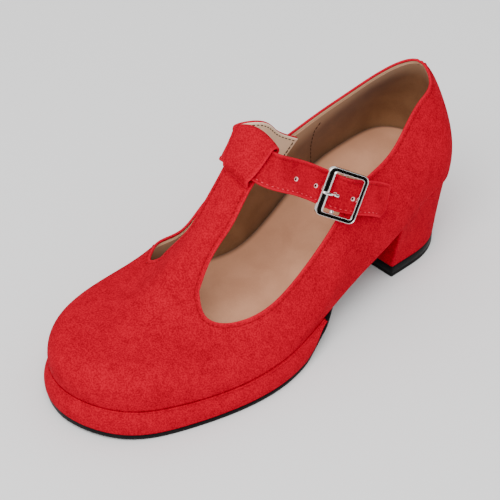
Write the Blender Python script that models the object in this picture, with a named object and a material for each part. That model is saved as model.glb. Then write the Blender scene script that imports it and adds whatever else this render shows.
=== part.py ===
"""Left T-strap pump with a covered platform and block heel.

The toe points to -Y, the outer (lateral) side of the foot to +X, and the shoe stands on Z = 0.
Every form is worked out from the driving sizes and from short tables, in per cent:
"along" of LENGTH from the heel back, "side" of BALL_WIDTH and "height" of COLLAR_HEIGHT.
The origin is under the middle of the shoe's box, MIDDLE of LENGTH from the heel back.
"""

import math

import bmesh
import bpy
import numpy as np

# Driving sizes, in metres
LENGTH = 0.2325
MIDDLE = 0.5107
BALL_WIDTH = 0.0900
COLLAR_HEIGHT = 0.0950
WALL = 0.0018
GAP = 0.0003
MARGIN = 0.0075
FEATHER_RADIUS = 0.0024
INSOLE = 0.0024
OUTSOLE = 0.0025
PLATFORM_LIP = 0.0028
TOE_SPRING = 0.0018
TOP_PIECE = 0.0062
TOP_PIECE_WIDTH = 0.0545
HEEL_BACK_ALONG = 4.3
BREAST_ALONG = 24.3
STRAP_WIDTH = 0.0160
STRAP_THICK = 0.0018
LOOP_RADIUS = 0.0020
BUCKLE_WIDTH = 0.0200
BUCKLE_HEIGHT = 0.0230
BUCKLE_BAR = 0.0023
CENTRE_BAR = 0.0019
PRONG = 0.0017

# The last: a row for each rib of the form, the same along for both sides of the foot
LAST_COLUMNS = ("name", "along", "lateral", "medial", "swell", "rise", "flare", "crown",
                "reach_lateral", "drop_lateral", "reach_medial", "drop_medial", "turn")
LAST = (
    ("heel_back", 3.0, -5.3, 5.3, 6.0, 22.5, 0.0, -1.0, 16.5, 6.0, 16.5, 6.0, 0),
    ("heel_corner", 6.5, 22.6, 28.8, 5.0, 25.5, 0.0, 0.5, 7.5, 10.5, 6.5, 12.0, 22),
    ("heel_side", 14.6, 28.9, 34.6, 3.5, 24.5, 0.0, 0.5, 4.0, 13.0, 1.5, 15.5, 50),
    ("seat", 25.8, 35.0, 35.7, 2.5, 22.5, -1.0, -0.5, 6.0, 20.5, 4.0, 19.5, 75),
    ("arch", 37.9, 35.5, 32.3, 2.0, 18.0, -0.5, -1.5, 21.5, 33.5, 13.0, 32.5, 98),
    ("waist", 49.5, 38.5, 31.9, 1.0, 11.5, 2.0, -3.0, 30.0, 63.0, 21.0, 54.5, 118),
    ("ball_rear", 61.1, 45.9, 40.3, -1.0, 5.0, 3.5, -1.0, 29.5, 73.0, 30.5, 63.0, 136),
    ("ball", 73.1, 44.9, 47.6, 0.5, 6.5, 5.5, 5.0, 29.0, 81.0, 26.5, 77.0, 150),
    ("toe_side", 86.0, 35.1, 43.7, 2.0, 20.5, 6.5, 13.5, 25.0, 97.0, 34.0, 86.0, 162),
    ("toe_corner", 95.1, 20.8, 34.0, 3.5, 31.5, 3.0, 15.0, 25.5, 97.5, 28.0, 92.5, 171),
    ("toe_tip", 99.4, -8.7, 8.7, 7.0, 30.0, 0.0, 10.0, 32.5, 83.5, 32.5, 83.5, 180),
)
# The ring that closes the last above the collar, and its height at the back and the front
RING_BACK, RING_FRONT = 8.8, 62.3
RING_HALF_WIDTH = 16.5
RING_SIDE_BACK, RING_SIDE_FRONT = -3.8, -6.4
RING_HEIGHT_BACK, RING_HEIGHT_FRONT = 101.6, 96.8

# The feather line, where the upper meets the sole, as a side view
BOTTOM_COLUMNS = ("name", "along", "height")
BOTTOM = (
    ("heel_back", 1.0, 42.0),
    ("seat", 19.5, 38.0),
    ("breast", 28.0, 33.0),
    ("shank", 34.5, 26.5),
    ("arch", 41.0, 19.5),
    ("waist", 47.5, 14.0),
    ("ball_rear", 56.0, 12.5),
    ("ball", 69.0, 12.5),
    ("toe_side", 86.0, 13.5),
    ("toe_tip", 99.9, 16.7),
)
TREAD_FRONT, TREAD_BACK = 85.0, 57.5
WAIST_JOIN = 46.5

# The topline and the cut-outs beside the T-bar; foot is where each section starts on the feather
RIM_COLUMNS = ("name", "along", "side", "height", "foot")
RIM = (
    ("cutout_inner_lateral", 70.8, 7.2, 45.2, 46.5),
    ("cutout_front_lateral", 71.9, 15.3, 36.0, 43.8),
    ("cutout_low_lateral", 65.5, 30.0, 34.9, 37.0),
    ("waist_lateral", 54.5, 31.3, 41.8, 30.0),
    ("quarter_front_lateral", 45.3, 30.0, 56.5, 24.5),
    ("buckle_lateral", 38.5, 28.8, 69.5, 20.5),
    ("ankle_lateral", 24.5, 21.9, 75.5, 13.8),
    ("heel_side_lateral", 12.5, 12.5, 88.2, 7.0),
    ("heel_back_lateral", 6.6, 5.7, 91.6, 3.4),
    ("heel_back", 5.9, -1.5, 96.8, 0.6),
    ("heel_side_medial", 13.0, -15.5, 91.8, -6.0),
    ("ankle_medial", 25.0, -25.0, 80.0, -12.5),
    ("strap_medial", 35.0, -28.8, 71.0, -18.0),
    ("quarter_front_medial", 47.0, -33.5, 63.5, -24.5),
    ("waist_medial", 56.0, -37.0, 50.0, -30.0),
    ("cutout_low_medial", 67.3, -35.6, 42.4, -37.5),
    ("cutout_front_medial", 70.3, -32.0, 41.8, -42.2),
    ("cutout_inner_medial", 70.0, -24.0, 47.2, -45.6),
)

# The middle of the T-bar, from its root on the vamp to where it folds over the ankle strap
BAR_COLUMNS = ("name", "along", "side", "height", "half_width")
BAR = (
    ("root", 72.1, -5.0, 50.0, 14.5),
    ("vamp", 69.5, -3.0, 56.5, 12.0),
    ("throat", 67.0, -2.4, 62.5, 11.0),
    ("neck", 63.5, -2.7, 71.0, 10.8),
    ("middle", 59.8, -3.8, 79.5, 10.5),
    ("below_strap", 55.8, -5.3, 88.0, 10.6),
    ("behind_strap", 52.8, -5.5, 94.6, 12.0),
    ("fold", 50.8, -5.4, 98.9, 12.7),
)
BAR_CROWN = 0.0012
FOLD_CROWN = 0.0016
BAR_ARCH = 0.0026
STRAP_ARCH = 0.3
BAR_BLEND = 0.5
STRAP_LOW_ON_BAR, STRAP_HIGH_ON_BAR = 0.768, 1.026
FLAP_END_ON_BAR = 0.736
FLAP_TAPER = 0.33
FLAP_SHIFT = 0.0019
FLAP_SKEW = 0.0006

# The ankle strap: lower and upper edge of each section; stand is its height off the quarter,
# and across_bar puts a section inside the loop, in half widths of the T-bar
STRAP_COLUMNS = ("name", "low_along", "low_side", "low_height", "high_along", "high_side",
                 "high_height", "stand", "across_bar")
STRAP = (
    ("medial_end", 35.2, -33.7, 56.9, 33.1, -29.8, 72.4, -0.0033, None),
    ("medial_edge", 43.1, -27.6, 71.0, 38.6, -25.0, 83.0, None, None),
    ("medial_side", 47.4, -23.6, 82.0, 45.2, -21.8, 97.0, None, None),
    ("loop_medial", None, None, None, None, None, None, None, -1.1),
    ("loop_inner", None, None, None, None, None, None, None, -0.65),
    ("loop", None, None, None, None, None, None, None, 0.0),
    ("loop_lateral", None, None, None, None, None, None, None, 1.1),
    ("lateral_side", 52.1, 15.8, 82.5, 46.5, 12.4, 94.5, None, None),
    ("before_buckle", 46.9, 21.4, 73.6, 41.4, 18.6, 86.0, None, None),
    ("buckle", 43.4, 28.2, 67.4, 39.0, 26.9, 82.2, None, None),
    ("quarter", 36.8, 32.5, 58.5, 31.7, 27.5, 71.5, 0.0040, None),
    ("tail_end", 33.0, 34.8, 54.9, 27.8, 31.6, 64.9, 0.0028, None),
)
TAIL_CLIP = 0.0030


def table(columns, rows):
    """The rows of a table as dictionaries."""
    return [dict(zip(columns, row)) for row in rows]


def along_y(along):
    return LENGTH * (MIDDLE - np.asarray(along, float) / 100)


def side_x(side):
    return BALL_WIDTH * np.asarray(side, float) / 100


def height_z(height):
    return COLLAR_HEIGHT * np.asarray(height, float) / 100


def place(along, side, height):
    return np.array([side_x(side), along_y(along), height_z(height)])


def smooth_step(t):
    t = np.clip(t, 0.0, 1.0)
    return t * t * (3 - 2 * t)


def unit(vectors):
    return vectors / np.linalg.norm(vectors, axis=-1, keepdims=True)


def cubic_spline(knots, values, closed=False):
    """A function through the values: natural at its ends, or periodic when closed."""
    x = np.asarray(knots, float)
    y = np.asarray(values, float)
    shape = y.shape[1:]
    y = y.reshape(len(y), -1)
    n = len(x)
    h = np.diff(x)
    slope = np.diff(y, axis=0) / h[:, None]
    matrix = np.zeros((n, n))
    right = np.zeros_like(y)
    for i in range(1, n - 1):
        matrix[i, i - 1:i + 2] = h[i - 1], 2 * (h[i - 1] + h[i]), h[i]
        right[i] = 6 * (slope[i] - slope[i - 1])
    if closed:
        matrix[0, 0], matrix[0, -1] = 1, -1
        matrix[-1, -2], matrix[-1, 1] = h[-1], h[0]
        matrix[-1, -1] = 2 * (h[-1] + h[0])
        right[-1] = 6 * (slope[0] - slope[-1])
    else:
        matrix[0, 0] = matrix[-1, -1] = 1
    bend = np.linalg.solve(matrix, right)

    def at(t):
        t = np.asarray(t, float)
        if closed:
            t = x[0] + (t - x[0]) % (x[-1] - x[0])
        i = np.clip(np.searchsorted(x, t, side="right") - 1, 0, n - 2)
        a = (x[i + 1] - t)[..., None]
        b = (t - x[i])[..., None]
        step = h[i][..., None]
        found = (bend[i] * a**3 + bend[i + 1] * b**3) / (6 * step)
        found += (y[i] / step - bend[i] * step / 6) * a + (y[i + 1] / step - bend[i + 1] * step / 6) * b
        return found.reshape(t.shape + shape)

    return at


def chord_lengths(points, power=1.0):
    """Knots from 0 to 1 that grow with the distance between points."""
    steps = np.linalg.norm(np.diff(points, axis=0), axis=1) ** power
    knots = np.concatenate([[0], np.cumsum(steps)])
    return knots / knots[-1]


# The last

def make_feather_height():
    rows = sorted(table(BOTTOM_COLUMNS, BOTTOM), key=lambda row: row["along"])
    spline = cubic_spline([row["along"] for row in rows],
                          height_z([row["height"] for row in rows]))
    first, final = rows[0]["along"], rows[-1]["along"]
    return lambda y: spline(np.clip(100 * (MIDDLE - np.asarray(y) / LENGTH), first, final))


feather_height = make_feather_height()


def ring_point(turn, sign):
    """A point of the oval ring that closes the last above the ankle."""
    share = 0.5 - 0.5 * math.cos(math.radians(turn))
    along = RING_BACK + (RING_FRONT - RING_BACK) * share
    centre = RING_SIDE_BACK + (RING_SIDE_FRONT - RING_SIDE_BACK) * share
    side = centre + sign * RING_HALF_WIDTH * math.sin(math.radians(turn))
    height = RING_HEIGHT_BACK + (RING_HEIGHT_FRONT - RING_HEIGHT_BACK) * share
    return place(along, side, height)


def make_last():
    """The periodic spline of the ribs' control points, round the foot from heel to toe to heel."""
    rows = table(LAST_COLUMNS, LAST)
    ordered = [(row, 1) for row in rows] + [(row, -1) for row in rows[-2:0:-1]]
    feet = []
    for row, sign in ordered:
        side = row["lateral"] if sign > 0 else -row["medial"]
        y = along_y(row["along"])
        feet.append([side_x(side), y, feather_height(y)])
    feet = np.array(feet + feet[:1], float)
    knots = chord_lengths(feet[:, :2], 0.5)
    ahead = cubic_spline(knots, feet, closed=True)
    step = 1e-4
    along = unit((ahead(knots + step) - ahead(knots - step))[:, :2])
    outward = np.column_stack([along[:, 1], -along[:, 0], np.zeros(len(along))])
    if np.sum(outward[:, :2] * (feet[:, :2] - feet[:, :2].mean(axis=0))) < 0:
        outward = -outward
    up = np.array([0.0, 0.0, 1.0])
    control = []
    for i, (row, sign) in enumerate(ordered + ordered[:1]):
        size = {key: height_z(row[key]) for key in LAST_COLUMNS[4:-1]}
        top = ring_point(row["turn"], sign)
        face = "lateral" if sign > 0 else "medial"
        low = feet[i] + outward[i] * size["swell"] + up * size["rise"]
        high = top + outward[i] * size["reach_" + face] - up * size["drop_" + face]
        middle = (low + high) / 2 + outward[i] * size["flare"] + up * size["crown"]
        control.append([feet[i], low, middle, high, top])
    return cubic_spline(knots, np.array(control), closed=True)


rib_control = make_last()


def last_point(u, v):
    """The last's surface: u runs once round the foot from the heel back, v from feather to ring."""
    u, v = np.broadcast_arrays(np.asarray(u, float), np.asarray(v, float))
    control = rib_control(u)
    w = 1 - v
    weights = np.stack([w**4, 4 * v * w**3, 6 * v**2 * w**2, 4 * v**3 * w, v**4], axis=-1)
    return np.einsum("...k,...kc->...c", weights, control)


def last_slopes(u, v):
    step = 1e-4
    along_u = (last_point(u + step, v) - last_point(u - step, v)) / (2 * step)
    along_v = (last_point(u, v + step) - last_point(u, v - step)) / (2 * step)
    return along_u, along_v


def last_normal(u, v):
    """Unit normal pointing out of the foot."""
    along_u, along_v = last_slopes(u, v)
    return unit(np.cross(along_v, along_u))


def on_last(points):
    """The (u, v) of the nearest place on the last for each point."""
    points = np.atleast_2d(points)
    u, v = np.meshgrid(np.linspace(0, 1, 180, endpoint=False), np.linspace(0.02, 0.98, 49), indexing="ij")
    grid = last_point(u, v).reshape(-1, 3)
    nearest = [np.argmin(((grid - point) ** 2).sum(axis=1)) for point in points]
    found = np.column_stack([u.ravel()[nearest], v.ravel()[nearest]])
    steps = np.array([(i, j) for i in (-1, 0, 1) for j in (-1, 0, 1)], float)
    reach = np.array([1 / 180, 0.02])
    for _ in range(14):
        tried = found[:, None, :] + steps * reach
        tried[..., 1] = np.clip(tried[..., 1], 0.0, 1.0)
        apart = ((last_point(tried[..., 0], tried[..., 1]) - points[:, None, :]) ** 2).sum(axis=2)
        found = tried[np.arange(len(points)), np.argmin(apart, axis=1)]
        reach = reach * 0.62
    return found


def feather_outline(inset, count=720, above=None):
    """The feather line seen from above, moved inwards by inset (outwards when negative).

    With above, it also clears a wall that leans in over it, as far up as v = above.
    """
    u = np.linspace(0, 1, count, endpoint=False)
    line = last_point(u, 0.0)[:, :2]
    along = unit(np.roll(line, -1, axis=0) - np.roll(line, 1, axis=0))
    outward = np.column_stack([along[:, 1], -along[:, 0]])
    if np.sum(outward * (line - line.mean(axis=0))) < 0:
        outward = -outward
    if above is not None:
        lean = ((last_point(u, above)[:, :2] - line) * outward).sum(axis=1)
        inset = inset - np.minimum(lean, 0.0)[:, None]
    return line - outward * inset


def outline_sides(line):
    """x of the lateral and medial side as functions of y, and the y of heel and toe."""
    toe, heel = np.argmin(line[:, 1]), np.argmax(line[:, 1])
    loop = np.roll(line, -heel, axis=0)
    cut = (toe - heel) % len(line)
    one, two = loop[:cut + 1], np.vstack([loop[cut:], loop[:1]])
    if one[:, 0].mean() < two[:, 0].mean():
        one, two = two[::-1], one[::-1]
    two = two[::-1]

    def side(branch):
        order = np.argsort(branch[:, 1])
        return lambda y: np.interp(y, branch[order, 1], branch[order, 0])

    return side(one), side(two), line[heel, 1], line[toe, 1]


# Meshes

def clear_scene():
    for obj in list(bpy.data.objects):
        bpy.data.objects.remove(obj)


def make_material(name, colour, roughness, metallic=0.0):
    material = bpy.data.materials.new(name)
    material.use_nodes = True
    shader = material.node_tree.nodes["Principled BSDF"]
    shader.inputs["Base Color"].default_value = (*colour, 1.0)
    shader.inputs["Roughness"].default_value = roughness
    shader.inputs["Metallic"].default_value = metallic
    return material


def make_object(name, points, faces, material):
    """A smooth-shaded object whose faces point outwards."""
    mesh = bpy.data.meshes.new(name)
    mesh.from_pydata([tuple(map(float, p)) for p in points], [], faces)
    mesh.validate()
    mesh.materials.append(material)
    mesh.shade_smooth()
    mesh.set_sharp_from_angle(angle=math.radians(40))
    obj = bpy.data.objects.new(name, mesh)
    bpy.context.scene.collection.objects.link(obj)
    return obj


def turn_outwards(obj):
    work = bmesh.new()
    work.from_mesh(obj.data)
    bmesh.ops.recalc_face_normals(work, faces=work.faces)
    if work.calc_volume(signed=True) < 0:
        bmesh.ops.reverse_faces(work, faces=work.faces)
    work.to_mesh(obj.data)
    work.free()


def add_sweep(name, rings, material, closed=False):
    """A solid through rings of equal point counts, with flat ends unless it closes on itself."""
    rings = np.asarray(rings)
    count, around = rings.shape[:2]
    faces = []
    for i in range(count if closed else count - 1):
        for j in range(around):
            k = (j + 1) % around
            n = (i + 1) % count
            faces.append((i * around + j, i * around + k, n * around + k, n * around + j))
    if not closed:
        faces.append(tuple(range(around - 1, -1, -1)))
        faces.append(tuple((count - 1) * around + j for j in range(around)))
    obj = make_object(name, rings.reshape(-1, 3), faces, material)
    turn_outwards(obj)
    return obj


def add_plate(name, lateral, medial, material):
    """A solid between stations; each side is levels x stations x 3, lowest level first.

    The first and last stations are closed as narrow end walls.
    """
    lateral, medial = np.asarray(lateral), np.asarray(medial)
    levels, stations = lateral.shape[:2]
    points = np.concatenate([lateral.reshape(-1, 3), medial.reshape(-1, 3)])

    def at(side, level, station):
        return side * levels * stations + level * stations + station

    faces = []
    for side in (0, 1):
        for level in range(levels - 1):
            for i in range(stations - 1):
                faces.append((at(side, level, i), at(side, level, i + 1),
                              at(side, level + 1, i + 1), at(side, level + 1, i)))
    for level in (0, levels - 1):
        for i in range(stations - 1):
            faces.append((at(0, level, i), at(0, level, i + 1), at(1, level, i + 1), at(1, level, i)))
    for i in (0, stations - 1):
        for level in range(levels - 1):
            faces.append((at(0, level, i), at(1, level, i), at(1, level + 1, i), at(0, level + 1, i)))
    obj = make_object(name, points, faces, material)
    turn_outwards(obj)
    return obj


def station_ys(start, end, count, round_start, round_end):
    """Station places along Y, closer together at a rounded end."""
    t = np.linspace(0, 1, count)
    if round_start and round_end:
        share = 0.5 - 0.5 * np.cos(math.pi * t)
    elif round_start:
        share = 1 - np.cos(math.pi / 2 * t)
    elif round_end:
        share = np.sin(math.pi / 2 * t)
    else:
        share = t
    return start + (end - start) * share


# Upper

def rim_curve(count):
    """The topline on the last from the lateral to the medial root of the T-bar.

    Gives (u, v) on the last and the foot share of each section; u runs from +0.5 to -0.5.
    """
    rows = table(RIM_COLUMNS, RIM)
    keys = np.array([place(row["along"], row["side"], row["height"]) for row in rows])
    knots = chord_lengths(keys)
    feet = last_point(np.array([row["foot"] for row in rows]) / 100, 0.0)
    even = (knots + chord_lengths(feet)) / 2
    t = np.interp(np.linspace(0, 1, count), even, knots)
    uv = on_last(cubic_spline(knots, keys)(t))
    uv[:, 0] = np.where(uv[:, 0] > 0.5, uv[:, 0] - 1, uv[:, 0])
    half = np.argmin(np.abs(uv[:, 0]))
    uv[:half, 0] = np.abs(uv[:half, 0])
    foot = cubic_spline(knots, np.array([row["foot"] / 100 for row in rows]))(t)
    return uv, foot


def bar_curve():
    rows = table(BAR_COLUMNS, BAR)
    points = np.array([[*place(row["along"], row["side"], row["height"]), side_x(row["half_width"])]
                       for row in rows])
    return cubic_spline(chord_lengths(points[:, :3]), points)


bar_at = bar_curve()


def bar_frame(s):
    """Middle, half width, upward tangent and outward normal of the T-bar at share s of it."""
    s = np.asarray(s, float)
    found = bar_at(s)
    tangent = unit(bar_at(s + 1e-3)[..., :3] - bar_at(s - 1e-3)[..., :3])
    normal = unit(np.cross(tangent, np.array([1.0, 0.0, 0.0])))
    return found[..., :3], found[..., 3], tangent, -normal


def bar_crown(s):
    """How far the middle of the T-bar stands out from its edges: nearly flat low down, domed at the fold."""
    return BAR_CROWN + FOLD_CROWN * smooth_step((s - 0.5) / 0.5)


def bar_arch(s):
    """How far the middle of a row across the T-bar rises above its ends, towards the fold."""
    return BAR_ARCH * smooth_step((s - 0.6) / 0.4)


def bar_rows(root, slope, rises, folds, flaps):
    """Rows of points across the T-bar, above its root row, up, over the strap and down again."""
    across = np.linspace(1, -1, len(root))
    side = np.array([1.0, 0.0, 0.0])
    dome = (1 - across**2)[:, None]
    rows = []
    length = np.linalg.norm(bar_at(1.0)[:3] - bar_at(0.0)[:3])
    for s in np.linspace(0, 1, rises + 1)[1:]:
        middle, half, tangent, normal = bar_frame(s)
        free = middle + side * (across * half)[:, None] + (normal * bar_crown(s) + tangent * bar_arch(s)) * dome
        carried = root + slope * s * length
        blend = smooth_step(s / BAR_BLEND)
        rows.append(carried * (1 - blend) + free * blend)
    top, half, tangent, normal = bar_frame(1.0)
    lifted = (normal * bar_crown(1.0) + tangent * bar_arch(1.0)) * dome
    for angle in np.linspace(0, math.pi, folds + 1)[1:]:
        shift = normal * LOOP_RADIUS * (1 - math.cos(angle)) + tangent * LOOP_RADIUS * math.sin(angle)
        rows.append(top + shift + side * (across * half)[:, None] + lifted)
    for s in np.linspace(1, FLAP_END_ON_BAR, flaps + 1)[1:]:
        middle, half, tangent, normal = bar_frame(s)
        down = (1 - s) / (1 - FLAP_END_ON_BAR)
        below = smooth_step((STRAP_LOW_ON_BAR - s) / (STRAP_LOW_ON_BAR - FLAP_END_ON_BAR))
        lift = 2 * LOOP_RADIUS + (2 * GAP - 2 * LOOP_RADIUS) * below
        width = half * (1 - FLAP_TAPER * down**5)
        skew = tangent * (FLAP_SKEW * down**3) * across[:, None]
        rows.append(middle + side * (across * width + FLAP_SHIFT * down)[:, None] + normal * lift
                    + (normal * bar_crown(s) + tangent * bar_arch(s)) * dome - skew)
    return rows


def build_upper(material):
    """Vamp, quarters and T-bar as one sheet, given its wall by a Solidify modifier."""
    rim_count, root_count, side_rows = 96, 7, 10
    uv, foot = rim_curve(rim_count)
    start, end = uv[0] - [1, 0], uv[-1]
    t = np.linspace(0, 1, root_count)[1:-1, None]
    root_uv = end + (start - end) * t
    root_foot = foot[-1] + (foot[0] - 1 - foot[-1]) * t[:, 0]
    top = np.vstack([uv, root_uv])
    bottom = np.concatenate([foot, root_foot])
    columns = len(top)

    feet = last_point(bottom, 0.0)
    step = last_point(bottom + 1e-3, 0.0) - last_point(bottom - 1e-3, 0.0)
    inward = unit(np.column_stack([step[:, 1], -step[:, 0], np.zeros(columns)]))
    inward *= np.sign(((feet.mean(axis=0) - feet)[:, :2] * inward[:, :2]).sum())
    rows = [feet + inward * MARGIN, feet + inward * FEATHER_RADIUS]
    rows[0][:, 2] = feather_height(rows[0][:, 1])
    rows[1][:, 2] = feather_height(rows[1][:, 1])
    rise = FEATHER_RADIUS / np.linalg.norm(last_slopes(bottom, 0.0)[1], axis=1)
    up_start = last_point(bottom, rise)
    rows.append((rows[1] + 2 * feet + up_start) / 4)
    for share in np.linspace(0, 1, side_rows):
        v = rise + (top[:, 1] - rise) * share
        rows.append(last_point(bottom + (top[:, 0] - bottom) * share, v))

    points = [p for row in rows for p in row]
    faces = []
    for i in range(len(rows) - 1):
        for j in range(columns):
            k = (j + 1) % columns
            faces.append((i * columns + j, i * columns + k, (i + 1) * columns + k, (i + 1) * columns + j))

    last_row = (len(rows) - 1) * columns
    root = [last_row] + [last_row + columns - 1 - j for j in range(root_count - 2)]
    root.append(last_row + rim_count - 1)
    before = root
    across = [i - last_row for i in root]
    slope = unit(last_slopes(top[across, 0], top[across, 1])[1])
    for row in bar_rows(rows[-1][across], slope, 12, 6, 7):
        after = list(range(len(points), len(points) + root_count))
        points.extend(row)
        for j in range(root_count - 1):
            faces.append((before[j], before[j + 1], after[j + 1], after[j]))
        before = after

    upper = make_object("upper", points, faces, material)
    work = bmesh.new()
    work.from_mesh(upper.data)
    bmesh.ops.recalc_face_normals(work, faces=work.faces)
    work.faces.ensure_lookup_table()
    lowest = min(work.faces, key=lambda face: face.calc_center_median().z)
    if lowest.normal.z > 0:
        bmesh.ops.reverse_faces(work, faces=work.faces)
    work.to_mesh(upper.data)
    work.free()
    wall = upper.modifiers.new("wall", "SOLIDIFY")
    wall.thickness = WALL
    wall.offset = -1
    wall.use_even_offset = True
    return upper


# Sole and heel

def sole_underside(y):
    """Height of the outsole's lower face: flat under the tread, then up under the waist."""
    along = 100 * (MIDDLE - np.asarray(y) / LENGTH)
    raised = feather_height(y) - GAP - OUTSOLE
    climb = smooth_step((TREAD_BACK - along) / (TREAD_BACK - WAIST_JOIN))
    spring = TOE_SPRING * np.clip((along - TREAD_FRONT) / (100 - TREAD_FRONT), 0, 1) ** 2
    return raised * climb + spring


def level_points(side, ys, heights):
    return np.column_stack([side(ys), ys, heights])


def build_platform(material):
    """Covered platform: its wall leans out to the lip low down, and it thins to nothing at the waist."""
    back = along_y(WAIST_JOIN + 2.0)
    levels = []
    for share, proud in ((0.0, 0.7), (0.15, 1.0), (0.85, 0.5), (1.0, 0.2)):
        lateral, medial, _, toe = outline_sides(feather_outline(-PLATFORM_LIP * proud))
        ys = station_ys(back, toe, 34, False, True)
        low = sole_underside(ys) + OUTSOLE + 1.5 * GAP
        high = np.maximum(feather_height(ys) - GAP, low + 0.0006)
        z = low + (high - low) * share
        levels.append((level_points(lateral, ys, z), level_points(medial, ys, z)))
    return add_plate("platform", [a for a, _ in levels], [b for _, b in levels], material)


def build_outsole(material):
    """Thin sole under the platform, carried up the waist to the heel breast."""
    line = feather_outline(-PLATFORM_LIP * 0.8)
    lateral, medial, _, toe = outline_sides(line)
    back = along_y(BREAST_ALONG) - GAP
    ys = station_ys(back, toe, 44, False, True)
    along = 100 * (MIDDLE - ys / LENGTH)
    tuck = 0.0062 * smooth_step((WAIST_JOIN + 3 - along) / 8)
    low = sole_underside(ys)
    levels = []
    for z in (low, low + OUTSOLE):
        a, b = level_points(lateral, ys, z), level_points(medial, ys, z)
        a[:, 0] -= tuck
        b[:, 0] += tuck
        levels.append((a, b))
    return add_plate("outsole", [a for a, _ in levels], [b for _, b in levels], material)


def heel_section(share):
    """x of lateral and medial side and y of the stations of the heel at share of its height."""
    back_low = along_y(HEEL_BACK_ALONG)
    line = feather_outline(0.0008)
    lateral, medial, back_high, _ = outline_sides(line)
    breast = along_y(BREAST_ALONG)
    t = np.sin(np.linspace(0, math.pi / 2, 18))
    high_y = breast + (back_high - breast) * t
    low_y = breast + (back_low - breast) * t
    straight = 0.30
    curve = np.clip((t - straight) / (1 - straight), 0, 1)
    half = TOP_PIECE_WIDTH / 2 * np.sqrt(np.maximum(1 - curve**2.3, 0))
    centre = side_x(-3.1)
    waist = 1 - 0.012 * math.sin(math.pi * share)
    x_lateral = (centre + half) * (1 - share) + lateral(high_y) * share
    x_medial = (centre - half) * (1 - share) + medial(high_y) * share
    return x_lateral * waist, x_medial * waist, low_y * (1 - share) + high_y * share


def build_heel_block(material):
    """Covered block heel: a D with a flat breast below, the heel seat's outline above."""
    seat = feather_height(heel_section(1.0)[2]) - GAP
    levels = []
    for share in np.linspace(0, 1, 7):
        lateral, medial, ys = heel_section(share)
        z = (TOP_PIECE + GAP) * (1 - share) + seat * share
        levels.append((np.column_stack([lateral, ys, z]), np.column_stack([medial, ys, z])))
    return add_plate("heel_block", [a for a, _ in levels], [b for _, b in levels], material)


def build_top_piece(material):
    """Heel lift under the block, flat on the ground."""
    lateral, medial, ys = heel_section(0.0)
    levels = []
    for z in (0.0, TOP_PIECE):
        flat = np.full(len(ys), z)
        levels.append((np.column_stack([lateral, ys, flat]), np.column_stack([medial, ys, flat])))
    return add_plate("top_piece", [a for a, _ in levels], [b for _, b in levels], material)


def build_insole(material):
    """Sock and board that lie on the turned-in margin of the upper."""
    line = feather_outline(WALL + 0.0020, above=0.2)
    lateral, medial, heel, toe = outline_sides(line)
    ys = station_ys(heel, toe, 40, True, True)
    low = feather_height(ys) + WALL + GAP
    levels = [(level_points(lateral, ys, z), level_points(medial, ys, z)) for z in (low, low + INSOLE)]
    return add_plate("insole", [a for a, _ in levels], [b for _, b in levels], material)


# Strap and buckle

def make_strap():
    """Edge curves of the strap's middle face from the medial end to the tail, its length, and
    the place of each named section along it."""
    rows = table(STRAP_COLUMNS, STRAP)
    edges = []
    for row in rows:
        if row["across_bar"] is not None:
            across = row["across_bar"]
            pair = []
            for s in (STRAP_LOW_ON_BAR, STRAP_HIGH_ON_BAR):
                middle, half, tangent, normal = bar_frame(s)
                lift = LOOP_RADIUS + bar_crown(s) * (1 - across**2)
                rise = BAR_ARCH * STRAP_ARCH * (1 - across**2)
                pair.append(middle + np.array([across * half, 0, 0]) + normal * lift + tangent * rise)
        else:
            pair = [place(row[end + "_along"], row[end + "_side"], row[end + "_height"])
                    for end in ("low", "high")]
        if row["stand"] is not None:
            u, v = on_last(np.array(pair)).T
            pair = last_point(u, v) + last_normal(u, v) * row["stand"]
        edges.append(pair)
    edges = np.array(edges)
    middles = edges.mean(axis=1)
    knots = chord_lengths(middles)
    length = np.linalg.norm(np.diff(middles, axis=0), axis=1).sum()
    places = {row["name"]: knot for row, knot in zip(rows, knots)}
    return cubic_spline(knots, edges[:, 0]), cubic_spline(knots, edges[:, 1]), length, places


strap_low, strap_high, strap_length, strap_places = make_strap()


def strap_frame(s):
    """Middle, tangent towards the tail, direction across (upwards) and outward normal."""
    middle = (strap_low(s) + strap_high(s)) / 2
    step = 1e-3
    tangent = unit((strap_low(s + step) + strap_high(s + step) - strap_low(s - step) - strap_high(s - step)) / 2)
    across = strap_high(s) - strap_low(s)
    across = unit(across - tangent * np.sum(across * tangent, axis=-1, keepdims=True))
    return middle, tangent, across, unit(np.cross(tangent, across))


def at_buckle(run, across, out):
    """A point from the buckle's centre, which is on the strap's middle face: run metres towards
    the tail, across the strap and out from it."""
    middle, tangent, width, normal = strap_frame(strap_places["buckle"])
    return middle + tangent * run + width * across + normal * out


def build_strap(material):
    sections = 58
    rings = []
    half, thick = STRAP_WIDTH / 2, STRAP_THICK / 2
    soft = 0.0006
    for s in np.linspace(0, 1, sections):
        left = (1 - s) * strap_length
        clip = TAIL_CLIP * max(0.0, 1 - left / TAIL_CLIP)
        w = half - clip
        middle, _, across, normal = strap_frame(s)
        profile = ((-w, -thick + soft), (-w + soft, -thick), (w - soft, -thick), (w, -thick + soft),
                   (w, thick - soft), (w - soft, thick), (-w + soft, thick), (-w, thick - soft))
        rings.append([middle + across * a + normal * b for a, b in profile])
    return add_sweep("ankle_strap", rings, material)


def round_section(centre, axis_a, axis_b, radius_a, radius_b, count=8):
    angles = [2 * math.pi * (i + 0.5) / count for i in range(count)]
    return [centre + axis_a * radius_a * math.cos(a) + axis_b * radius_b * math.sin(a) for a in angles]


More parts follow.
